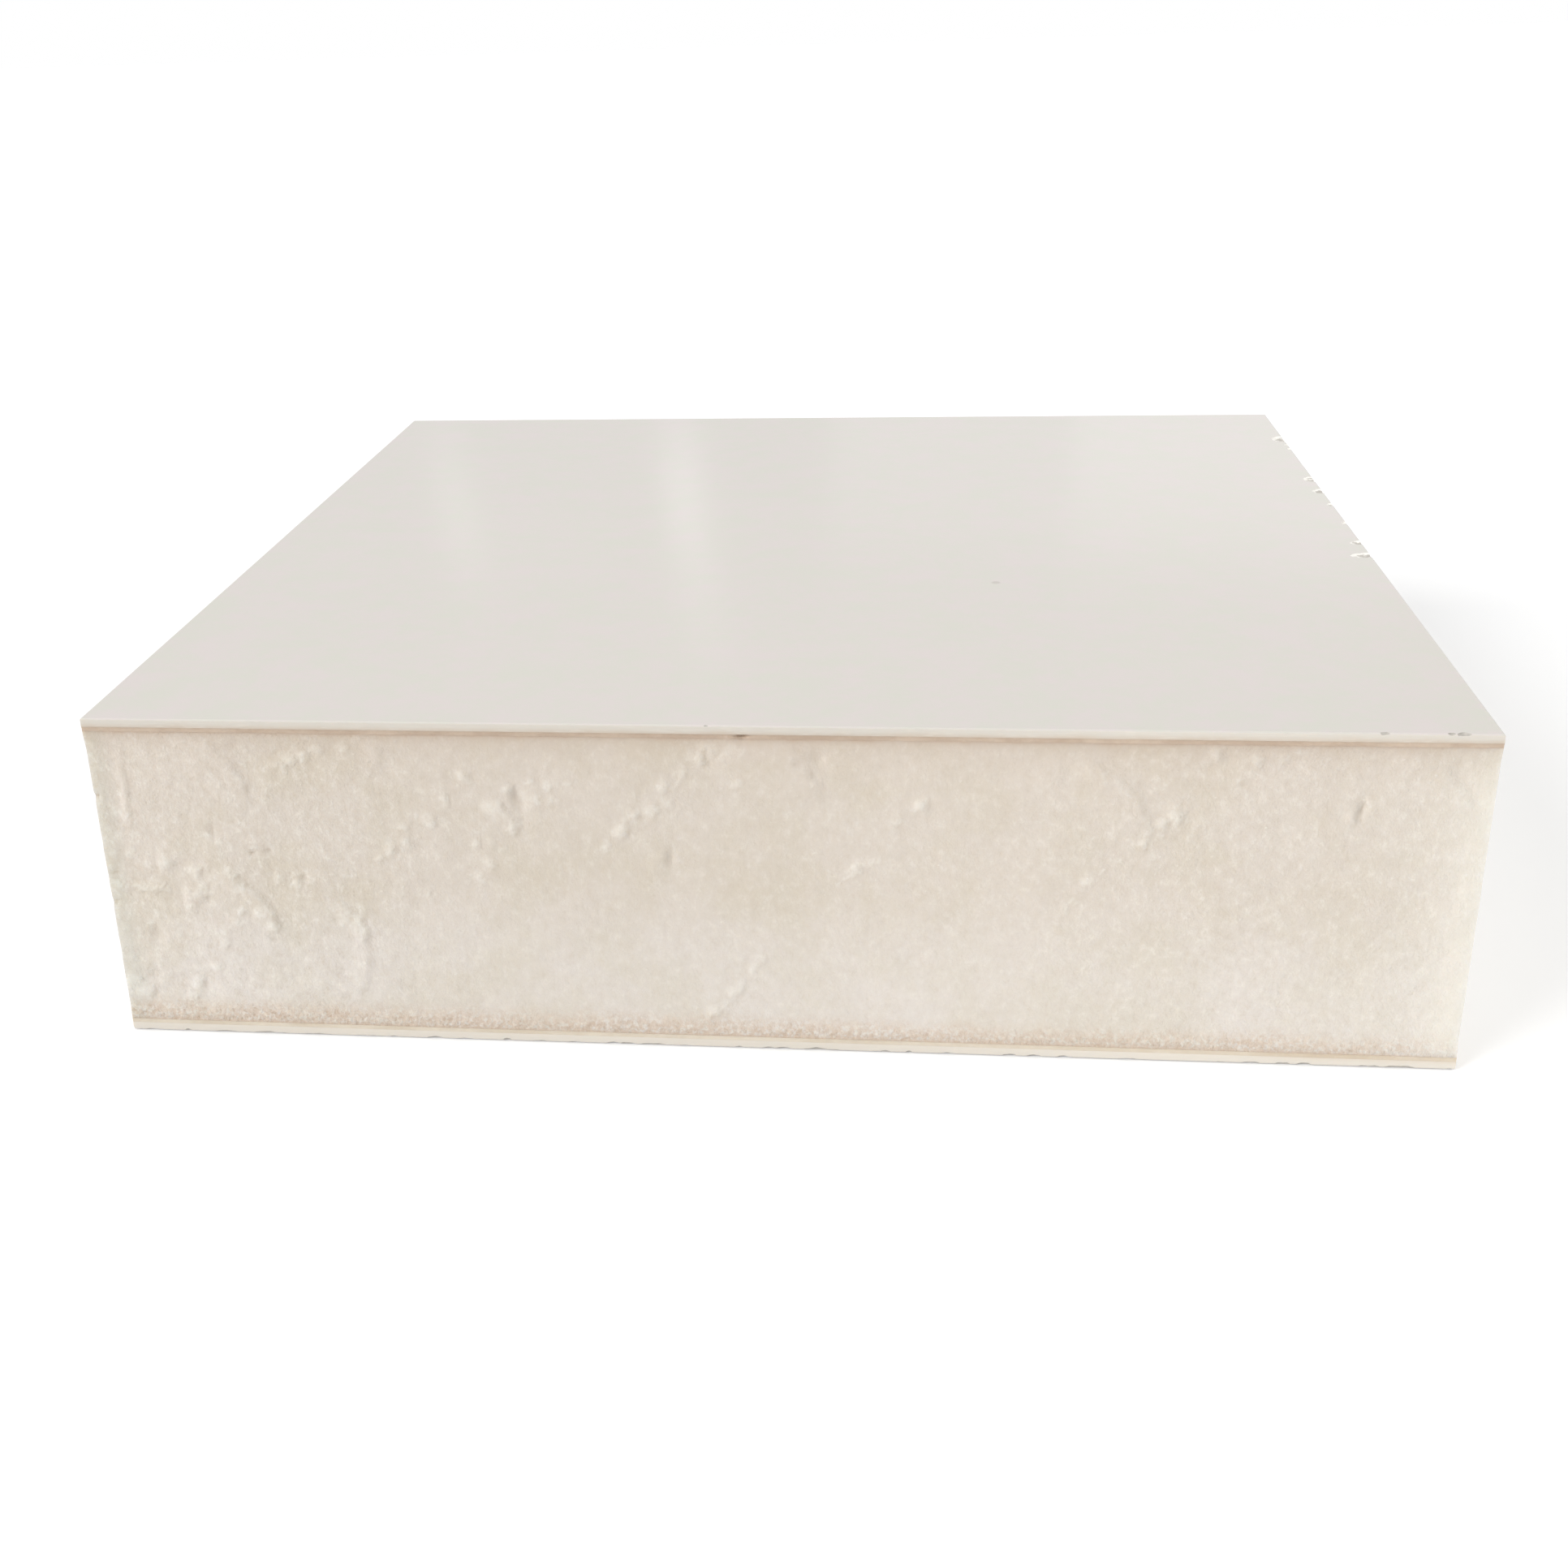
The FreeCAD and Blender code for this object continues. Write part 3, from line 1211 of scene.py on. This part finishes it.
@dataclass
class SawnLayer(Layer):
    """A layer whose four sides show how they were sawn.

    rows, front_columns and other_columns say how fine the sides are. recess is how deep they lie
    on average, and wave and grain how deep the slow and the fine texture go. flush is how far from
    the top and bottom the sides have sunk to their full depth. arris is how far from the corners
    the left and right sides have, and how far in a side's carving reaches. least is the smallest
    depth of all.
    """

    rows: int = 3
    front_columns: int = 400
    other_columns: int = 400
    recess: float = 0.1
    wave: float = 0.12
    grain: float = 0.12
    flush: float = 0.01
    arris: float = 5.0
    least: float = 0.02
    tears: list[Tear] = field(default_factory=list)
    marks: list[Dent | SawArc] = field(default_factory=list)

    # Noise that warps the marks, by itself and by how many times more it warps the crumbs.
    warp: Grain = Grain(2.4, depth=2.6)
    crumb_warp: float = 1.8

    # The texture's noises. Both ends are rougher than the middle.
    waves: Grain = Grain(42)
    mounds: Grain = Grain(11)
    mounds_start: Triple = (31.0, 7.0, 3.0)
    mounds_depth: float = 1.4
    grains: Grain = Grain(2.6, 3, 0.65, finer=(1.0, 1.0, 0.7))
    middle_roughness: float = 0.75
    rougher_left: Ramp = Ramp(-50, -120, 0.8)
    rougher_right: Ramp = Ramp(40, 100, 0.2)

    # What is left of a side's depth at its upper and lower edge, and at its corners.
    edge_depth: float = 0.2
    corner_depth: float = 0.1

    # A crumb's lump, and the pit beside it. Places and heights are shares of the crumb's size.
    lump: Ramp = Ramp(1, 0.15)
    lump_rise: float = 0.23
    lump_skew: float = 0.3
    lump_squash: float = 0.75
    pit: Ramp = Ramp(1.0, 0.1, 0.05)
    pit_place: Pair = (1.0, -0.6)

    INPUTS = ("Recess", "Wave Depth", "Grain Depth")
    SHARP_TURN = 1.0

    def _plan(self) -> list[Pair]:
        """The points round the block, in the order front, right, back, left."""
        low, high, front, other = self.low, self.high, self.front_columns, self.other_columns
        return [
            *((x, low.y) for x in even_steps(low.x, high.x, front)),
            *((high.x, y) for y in even_steps(low.y, high.y, other)),
            *((x, high.y) for x in even_steps(high.x, low.x, other)),
            *((low.x, y) for y in even_steps(high.y, low.y, other)),
        ]

    def build(self) -> bpy.types.Object:
        """Make a closed block whose sides are fine grids, and whose top and bottom are one face."""
        plan = self._plan()
        around, last = len(plan), self.rows * len(plan)
        levels = [*even_steps(self.low.z, self.high.z, self.rows), self.high.z]
        corners = [(x, y, z) for z in levels for x, y in plan]
        top, bottom = tuple(range(last, last + around)), tuple(reversed(range(around)))
        return new_piece(self.name, corners, [*walls(len(levels), around), top, bottom])

    def saw(self, piece: bpy.types.Object, finish: Finish) -> None:
        """Saw the sides of the plain block, and give it its finish."""
        values = dict(zip(self.INPUTS, (self.recess, self.wave, self.grain)))
        self._tree().run(piece, {**values, "Finish": finish.material()})

    def _tree(self) -> ShapeTree:
        """Build the tree that turns the block's flat sides into sawn ones.

        Returns:
            The tree. It leaves two attributes for the finish: how far and which way each point
            was carved, and how much of a crumb it is.
        """
        kinds = dict.fromkeys(self.INPUTS, Kind.NUMBER) | {"Finish": Kind.MATERIAL}
        shape = ShapeTree(f"{self.name}_sides", kinds)
        graph, inputs = shape.graph, shape.inputs
        place = graph.shape("InputPosition") * (1 / MM)
        warp = self.warp.shift(place)
        common, crumb = self._texture(inputs, place), 0.0
        if self.tears:
            crumb, torn = self._torn(place + warp * self.crumb_warp)
            common = common + torn
        geometry = graph.store(self._smoothed(inputs["Geometry"]), "crumb", "FLOAT", crumb)
        carved = self._carved(place, warp, common)
        geometry = graph.store(geometry, "carved", "FLOAT_VECTOR", carved)
        offset = graph.stored("carved", "FLOAT_VECTOR") * MM
        shape.coat(graph.shape("SetPosition", Geometry=geometry, Offset=offset), {"Finish": True})
        return shape

    def _smoothed(self, block: Wire) -> Wire:
        """Shade the block smooth, apart from its twelve edges."""
        graph = block.graph
        smooth = graph.shape("SetShadeSmooth", Geometry=block, Shade_Smooth=True)
        edges = graph.above(graph.shape("InputMeshEdgeAngle"), self.SHARP_TURN)
        sockets = {"Geometry": smooth, "Selection": edges, "Shade Smooth": False}
        return graph.node("GeometryNodeSetShadeSmooth", {"domain": "EDGE"}, sockets)

    def _texture(self, inputs: dict[str, Wire], place: Wire) -> Wire:
        """The plain sawn texture.

        Args:
            inputs: The tree's named inputs.
            place: The point.

        Returns:
            Its depth at every point.
        """
        x = place.parts()[0]
        rough = self.middle_roughness + self.rougher_left.of(x) + self.rougher_right.of(x)
        wave = self.waves.bumps(place) * inputs["Wave Depth"]
        mound = self.mounds.bumps(place + self.mounds_start) * inputs["Wave Depth"] * self.mounds_depth
        grain = self.grains.bumps(place) * inputs["Grain Depth"]
        return inputs["Recess"] + wave + (mound + grain) * rough

    def _carved(self, place: Wire, warp: Wire, common: Wire) -> Wire:
        """How far and which way every point goes in, with each side's own marks.

        Args:
            place: The point.
            warp: How far the marks are warped there.
            common: The depth that all four sides share.

        Returns:
            The way that the point goes.
        """
        x, y, z = place.parts()
        warp_along, _, warp_up = warp.parts()
        middle, half = (self.low + self.high) / (2 * MM), (self.high - self.low) / (2 * MM)
        from_face = half.z - abs(z - middle.z)
        sunk = self.edge_depth + (1 - self.edge_depth) * from_face.ease(0, self.flush)
        from_corner = half.y - abs(y - middle.y)
        cornered = self.corner_depth + (1 - self.corner_depth) * from_corner.ease(0, self.arris)
        shapes = MarkShapes()
        carved: Any = (0.0, 0.0, 0.0)
        for side in Side:
            (nx, ny), (ax, ay) = side.value, side.along
            along = x * float(ax) if ax else y * float(ay)
            point = place.graph.vector(along + warp_along, z + warp_up, 0.0)
            depth: Any = common
            for mark in self.marks:
                if mark.side is side:
                    depth = shapes.draw(mark, depth, point)
            gap = half.x - (x - middle.x) * nx if nx else half.y - (y - middle.y) * ny
            if nx:
                depth = depth * cornered
            inward = gap.ease(self.arris, 0) * (depth * sunk).at_least(self.least)
            carved = inward * (-nx, -ny, 0.0) + carved
        return carved

    def _torn(self, place: Wire) -> tuple[Wire, Wire]:
        """The rows of crumbs.

        Args:
            place: The point, with the crumbs' warp.

        Returns:
            How much of a crumb each point is, and the depth that the crumbs and their pits add.
        """
        graph, shapes = place.graph, MarkShapes()
        rows = [one.points(graph, shapes, self.high, seed) for seed, one in enumerate(self.tears)]
        points = graph.shape("JoinGeometry", Geometry=rows)
        nearest = graph.shape("SampleNearest", Geometry=points, Sample_Position=place * MM)
        readings = {"FLOAT_VECTOR": graph.shape("InputPosition"), "FLOAT": graph.stored("size", "FLOAT")}
        centre, size = (
            graph.node(
                "GeometryNodeSampleIndex",
                {"data_type": kind, "domain": "POINT"},
                {"Geometry": points, "Value": value, "Index": nearest},
            )
            for kind, value in readings.items()
        )
        x, y, z = ((place - centre * (1 / MM)) / size).parts()
        aside = x + y
        skewed = graph.vector(aside + self.lump_skew * abs(aside), z * self.lump_squash, 0.0)
        across, up = self.pit_place
        lump = self.lump.of(skewed.length())
        pit = self.pit.of(graph.vector(aside - across, z - up, 0.0).length())
        return lump, (pit - lump * self.lump_rise) * size


@dataclass
class FoamCore(SawnLayer):
    """The foam core, with sawn sides that are fine enough to show crumbs and saw marks."""

    node: str = "foam_core"
    name: str = "sawn_foam"
    rows: int = 92
    front_columns: int = 436
    other_columns: int = 200
    recess: float = 0.45
    wave: float = 0.45
    grain: float = 0.17
    flush: float = 4.5
    seed: int = 41

    def __post_init__(self) -> None:
        """Put the marks on its sides: the front's as listed, and the others by chance."""
        super().__post_init__()
        self.tears, self.marks = [*FRONT_TEARS], [*FRONT_DENTS, *FRONT_ARCS]
        chance = random.Random(self.seed)
        for side in (Side.RIGHT, Side.BACK, Side.LEFT):
            half = (self.high.y if side.value[0] else self.high.x) / MM
            scattered = ScatteredMarks(side, half, chance)
            self.tears += scattered.tears()
            self.marks += scattered.dents() + scattered.arcs()

    def dress(self, piece: bpy.types.Object) -> None:
        """Saw the foam's sides."""
        ends = {"bottom": self.low.z / MM, "top": self.high.z / MM, "end": self.high.x / MM}
        self.saw(piece, FoamFinish("sawn_open_foam", **ends))


@dataclass
class BondLine(SawnLayer):
    """A thin adhesive line between the foam and a skin, with a slightly uneven edge."""

    finish: AdhesiveFinish = field(kw_only=True)

    def dress(self, piece: bpy.types.Object) -> None:
        """Saw the adhesive's edge."""
        self.saw(piece, self.finish)


@dataclass(frozen=True)
class Chip:
    """A shell-shaped chip on a skin's arris, cut by a flattened ball.

    middle is its plan position, reach how far it goes each way in X, run its length along Y, bite
    its depth, and turn its angle in degrees. The ball's middle lies over the skin by the share
    LIFT of the bite, and the share TALL of the bite is half its height.
    """

    middle: Pair
    reach: float
    run: float
    bite: float = 0.5
    turn: float = 0.0

    LIFT = 0.35
    TALL = 1.35
    FINENESS = 4

    def cutter(self, graph: Graph, level: float, outward: int) -> Wire:
        """The ball that cuts the chip.

        Args:
            graph: The tree to add it to.
            level: The height of the skin's outer face, in metres.
            outward: 1 where that face looks up, and -1 where it looks down.

        Returns:
            The ball, in its place.
        """
        lift = self.LIFT * self.bite * outward * MM
        return graph.shape(
            "Transform",
            Geometry=graph.shape("MeshIcoSphere", Radius=MM, Subdivisions=self.FINENESS),
            Translation=(self.middle[0] * MM, self.middle[1] * MM, level + lift),
            Rotation=(0.0, 0.0, math.radians(self.turn)),
            Scale=(self.reach, self.run / 2, self.bite * self.TALL),
        )


@dataclass(frozen=True)
class Nicks:
    """Small chips that the saw left by chance all along a skin's arris.

    spots is how many places they may be at, share how many of those have one, and slide how far
    they stray from their place, as a share of the way to the next one.
    """

    spots: int
    share: float
    half_run: Pair
    bite: Pair
    seed: int
    slide: float = 0.45

    FINENESS = 2

    def cutters(self, graph: Graph, size: Vector, level: float) -> Wire:
        """The balls that cut the nicks.

        Args:
            graph: The tree to add them to.
            size: The skin's size, in metres.
            level: The height of its outer face, in metres.

        Returns:
            The balls as one shape.
        """
        outline = graph.shape("CurvePrimitiveQuadrilateral", Width=size.x, Height=size.y)
        lifted = graph.shape("Transform", Geometry=outline, Translation=(0.0, 0.0, level))
        even = graph.shape("ResampleCurve", Curve=lifted, Count=self.spots)
        points, tangent, _, rotation = graph.outputs(
            "GeometryNodeCurveToPoints", {"mode": "EVALUATED"}, {"Curve": even}
        )
        slide = self.slide * (2 * (size.x + size.y) / self.spots)
        offset = tangent * graph.chance(-slide, slide, self.seed)
        sockets = {"Probability": self.share, "Seed": self.seed}
        low, high = ((bite, bite, run) for bite, run in zip(self.bite, self.half_run))
        return graph.shape(
            "InstanceOnPoints",
            Points=graph.shape("SetPosition", Geometry=points, Offset=offset),
            Selection=graph.node("FunctionNodeRandomValue", {"data_type": "BOOLEAN"}, sockets),
            Instance=graph.shape("MeshIcoSphere", Radius=MM, Subdivisions=self.FINENESS),
            Rotation=rotation,
            Scale=graph.chance(low, high, self.seed + 1),
        )


@dataclass
class LaminateSkin(Layer):
    """A gelcoat skin: a thin plate with eased arrises and chips along its sawn edges.

    outward is 1 where its outer face looks up and -1 where it looks down. A face has gelcoat
    where its normal goes outward by more than coated.
    """

    outward: int
    nicks: Nicks
    edge: LaminateEdgeFinish
    chips: list[Chip] = field(default_factory=list)
    specks: tuple[Pair, ...] = ()
    arris: float = 0.4
    arris_steps: int = 4
    ragged: Grain = Grain(1.1, 3, depth=0.9)
    coated: float = 0.3

    @property
    def level(self) -> float:
        """The height of the outer face, in metres."""
        return self.high.z if self.outward > 0 else self.low.z

    def build(self) -> bpy.types.Object:
        """Make the closed plate, with rounded arrises on its outer face."""
        low, high, radius = self.low, self.high, self.arris * MM
        rings = [(0.0, low.z if self.outward > 0 else high.z)]
        for step in range(self.arris_steps + 1):
            angle = math.radians(90 * step / self.arris_steps)
            inset, drop = radius * (1 - math.cos(angle)), radius * (1 - math.sin(angle))
            rings.append((inset, self.level - self.outward * drop))
        corners: list[Triple] = []
        for inset, level in rings:
            x0, y0, x1, y1 = low.x + inset, low.y + inset, high.x - inset, high.y - inset
            corners += [(x0, y0, level), (x1, y0, level), (x1, y1, level), (x0, y1, level)]
        last = len(corners) - 4
        faces = [(3, 2, 1, 0), (last, last + 1, last + 2, last + 3), *walls(len(rings), 4)]
        # Where the rings go down, each face is turned round, so that it still points out.
        return new_piece(self.name, corners, [face[:: self.outward] for face in faces])

    def dress(self, piece: bpy.types.Object) -> None:
        """Chip the plate's arrises and finish its faces."""
        level = self.level / MM
        finishes = {
            "Gelcoat": GelcoatFinish(f"{self.name}_gelcoat", level=level, specks=self.specks),
            "Laminate": self.edge,
            "Fracture": FractureFinish(f"{self.name}_fracture", level=level),
        }
        materials = {name: finish.material() for name, finish in finishes.items()}
        self._tree(list(materials)).run(piece, materials)

    def _tree(self, materials: list[str]) -> ShapeTree:
        """Build the tree that breaks the chips out of the arrises and finishes each face.

        Args:
            materials: The names of its material inputs.

        Returns:
            The tree, ready to run on the plate.
        """
        shape = ShapeTree(f"{self.name}_chips", dict.fromkeys(materials, Kind.MATERIAL))
        graph, fracture = shape.graph, shape.inputs["Fracture"]
        cutters = [chip.cutter(graph, self.level, self.outward) for chip in self.chips]
        cutters.append(self.nicks.cutters(graph, self.high - self.low, self.level))
        joined = graph.shape("JoinGeometry", Geometry=cutters)
        solid = graph.shape("RealizeInstances", Geometry=joined)
        ragged = self.ragged.shift(graph.shape("InputPosition") * (1 / MM), MM)
        rough = graph.shape("SetPosition", Geometry=solid, Offset=ragged)
        cut = graph.node(
            "GeometryNodeMeshBoolean",
            {"operation": "DIFFERENCE", "solver": "EXACT"},
            {
                "Mesh 1": shape.inputs["Geometry"],
                "Mesh 2": graph.shape("SetMaterial", Geometry=rough, Material=fracture),
                "Self Intersection": True,
            },
        )
        broken = graph.shape("MaterialSelection", Material=fracture)
        facing = graph.shape("InputNormal").parts()[2] * float(self.outward)
        flat = graph.above(facing, self.coated)
        coated, sawn = (
            graph.node("FunctionNodeBooleanMath", {"operation": one}, {0: flat, 1: broken})
            for one in ("NIMPLY", "NOR")
        )
        shape.coat(cut, {"Gelcoat": coated, "Laminate": sawn})
        return shape


# ---------------------------------------------------------------------------------------------
# The studio
# ---------------------------------------------------------------------------------------------


def aimed(source: Vector, target: Vector, lean: float = 0.0) -> Matrix:
    """The matrix of a lamp at source that points at target, leaning by that many degrees."""
    turn = (target - source).to_track_quat("-Z", "Y").to_matrix().to_4x4()
    return Matrix.Translation(source) @ turn @ Matrix.Rotation(math.radians(lean), 4, "Z")


@dataclass(frozen=True)
class Sun:
    """A very large lamp far away. share is what it adds to a white surface that faces it."""

    name: str
    toward: Triple
    share: float
    angle: float

    def hang(self, target: Vector) -> None:
        """Put the lamp in the scene, shining on target."""
        light = bpy.data.lights.new(self.name, "SUN")
        light.energy = self.share * math.pi
        light.angle = math.radians(self.angle)
        lamp = new_object(self.name, light)
        lamp.matrix_world = aimed(target + Vector(self.toward), target)
        lamp.visible_glossy = False


@dataclass(frozen=True)
class Card:
    """A lit rectangle that only the glossy skins mirror.

    Its direction from the panel is a heading from +Y towards +X and a height, and its size is how
    wide and high it looks, all in degrees. Its distance is in metres.
    """

    name: str
    heading: float
    height: float
    size: Pair
    glow: float
    lean: float = 0.0
    distance: float = 30.0

    def hang(self, target: Vector) -> None:
        """Put the card in the scene, facing target."""
        light = bpy.data.lights.new(self.name, "AREA")
        light.shape = "RECTANGLE"
        width, tall = (2 * self.distance * math.tan(math.radians(one / 2)) for one in self.size)
        light.size, light.size_y = width, tall
        light.energy = self.glow * math.pi * width * tall
        heading, height = math.radians(self.heading), math.radians(self.height)
        level = math.cos(height)
        toward = Vector((math.sin(heading) * level, math.cos(heading) * level, math.sin(height)))
        card = new_object(self.name, light)
        card.matrix_world = aimed(target + toward * self.distance, target, self.lean)
        card.visible_camera = False
        card.visible_diffuse = False


@dataclass
class Studio:
    """A plain white studio, and a camera that looks down at the front.

    The eye's place, the floor's half width and level, and nearest, from where the camera sees,
    are in metres. Angles are in degrees.
    """

    world_level: float = 0.52
    mirrored_level: float = 0.7
    floor_half: float = 6.0
    floor_level: float = -0.0002
    eye: Triple = (0.03233, -0.5212, 0.22788)
    pitch: float = -23.708
    heading: float = -7.125
    roll: float = -1.982
    lens: float = 43.04
    sensor: float = 36.0
    shift: Pair = (0.0542, 0.0073)
    nearest: float = 0.01
    suns: tuple[Sun, ...] = (
        Sun("key", (-1.5, -1.0, 1.0), 0.68, 35),
        Sun("side_fill", (1.0, 0.2, 0.25), 0.4, 30),
        Sun("overhead", (0.1, 0.3, 1.0), 0.08, 60),
    )
    cards: tuple[Card, ...] = (
        Card("bright_strip_top", -7.5, 14.0, (1.3, 1.3), 0.22, 8),
        Card("bright_strip", -7.3, 14.9, (1.1, 3.0), 0.42, 8),
        Card("bright_strip_tail", -6.8, 17.9, (1.2, 3.2), 0.2, 8),
        Card("faint_strip", -14.5, 14.8, (0.9, 2.8), 0.38, 18),
        Card("faint_hook", -11.8, 16.3, (4.6, 0.8), 0.12, -6),
        Card("soft_glow", 8.6, 13.0, (22.0, 7.0), 0.13),
        Card("soft_glow_middle", 12.0, 13.4, (14.0, 6.0), 0.17),
    )

    def build(self) -> None:
        """Set up the floor, the light and the camera."""
        self._floor()
        self._world()
        for sun in self.suns:
            sun.hang(Vector((0, 0, 0)))
        for card in self.cards:
            card.hang(Vector((0, 0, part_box("outer_skin")[1].z)))
        self._camera()
        bpy.context.scene.view_settings.view_transform = "Standard"

    def _floor(self) -> None:
        """A wide floor just under the panel."""
        half = self.floor_half
        plan = [(-half, -half), (half, -half), (half, half), (-half, half)]
        floor = new_piece("floor", [(x, y, self.floor_level) for x, y in plan], [(0, 1, 2, 3)])
        floor.data.materials.append(FloorFinish("white_floor").material())

    def _world(self) -> None:
        """A world that shows as white and lights the panel at world_level."""
        world = bpy.data.worlds.new("studio")
        bpy.context.scene.world = world
        world.use_nodes = True
        world.node_tree.nodes.clear()
        graph = Graph(world.node_tree)
        seen, mirrored = (
            graph.node("ShaderNodeLightPath", {}, {}, f"Is {ray} Ray") for ray in ("Camera", "Glossy")
        )
        strength = self.world_level + seen * (1 - self.world_level)
        strength = strength + mirrored * (self.mirrored_level - self.world_level)
        sky = graph.node("ShaderNodeBackground", {}, {"Color": (1.0, 1.0, 1.0, 1.0), "Strength": strength})
        graph.end("ShaderNodeOutputWorld", {}, {"Surface": sky})

    def _camera(self) -> None:
        """The camera, by its place, its three angles and its lens."""
        camera = new_object("camera", bpy.data.cameras.new("camera"))
        camera.data.sensor_width = self.sensor
        camera.data.lens = self.lens
        camera.data.shift_x, camera.data.shift_y = self.shift
        camera.data.clip_start = self.nearest
        camera.matrix_world = (
            Matrix.Translation(self.eye)
            @ Matrix.Rotation(math.radians(-self.heading), 4, "Z")
            @ Matrix.Rotation(math.radians(90 + self.pitch), 4, "X")
            @ Matrix.Rotation(math.radians(self.roll), 4, "Z")
        )
        bpy.context.scene.camera = camera


# The chips of the outer skin's right arris, from the back to the front, and of its front arris.
RIGHT, FRONT = 152.5, -150.0
OUTER_CHIPS = [
    Chip((RIGHT, 112.0), 4.0, 9.0, 0.5, 12),
    Chip((RIGHT, 104.0), 1.2, 2.4, 0.3),
    Chip((RIGHT, 98.5), 1.4, 2.0, 0.3),
    Chip((RIGHT, 59.0), 3.5, 6.4, 0.5, 10),
    Chip((RIGHT, 44.8), 3.3, 5.0, 0.5, 10),
    Chip((RIGHT, 29.5), 1.8, 3.6, 0.4),
    Chip((RIGHT, 9.5), 1.7, 3.2, 0.4),
    Chip((RIGHT, -10.0), 3.4, 4.2, 0.5, 15),
    Chip((RIGHT, -21.8), 5.8, 4.8, 0.5, 8),
    Chip((128.7, FRONT), 1.0, 1.4, 0.45),
    Chip((141.9, FRONT), 0.9, 1.4, 0.45),
    Chip((144.3, FRONT), 1.6, 1.8, 0.45, 12),
]


def panel() -> list[Layer]:
    """The panel's layers, from the outer skin down to the inner one."""
    return [
        LaminateSkin(
            "outer_skin",
            "gelcoat_skin_outer",
            outward=1,
            nicks=Nicks(120, 0.08, (0.4, 0.8), (0.2, 0.4), seed=3),
            edge=LaminateEdgeFinish("outer_laminate", outer_level=80.0),
            chips=OUTER_CHIPS,
            specks=((52.8, -47.2),),
        ),
        BondLine(
            "outer_bond",
            "adhesive_outer",
            marks=[Dent((-4.5, 77.7), (1.5, 0.9), 1.1)],
            finish=AdhesiveFinish("outer_bond_adhesive"),
        ),
        FoamCore(),
        BondLine(
            "inner_bond",
            "adhesive_inner",
            finish=AdhesiveFinish(
                "inner_bond_adhesive",
                thick=srgb(219, 205, 185),
                thin=srgb(230, 218, 200),
                end_tint=(0.92, 0.89, 0.86),
            ),
        ),
        LaminateSkin(
            "inner_skin",
            "gelcoat_skin_inner",
            outward=-1,
            nicks=Nicks(200, 0.7, (0.8, 3.4), (0.3, 0.75), seed=11),
            edge=LaminateEdgeFinish(
                "inner_laminate",
                near_gelcoat=srgb(228, 221, 210),
                near_bond=srgb(233, 225, 212),
                end_tint=(0.93, 0.90, 0.87),
            ),
        ),
    ]


def main() -> None:
    """Build and dress the panel, then the studio round it."""
    logging.basicConfig(level=logging.INFO, format="%(name)s: %(message)s")
    for layer in panel():
        piece = layer.build()
        layer.dress(piece)
        hand_over(piece, layer.node)
    Studio().build()


if __name__ == "__main__":
    main()
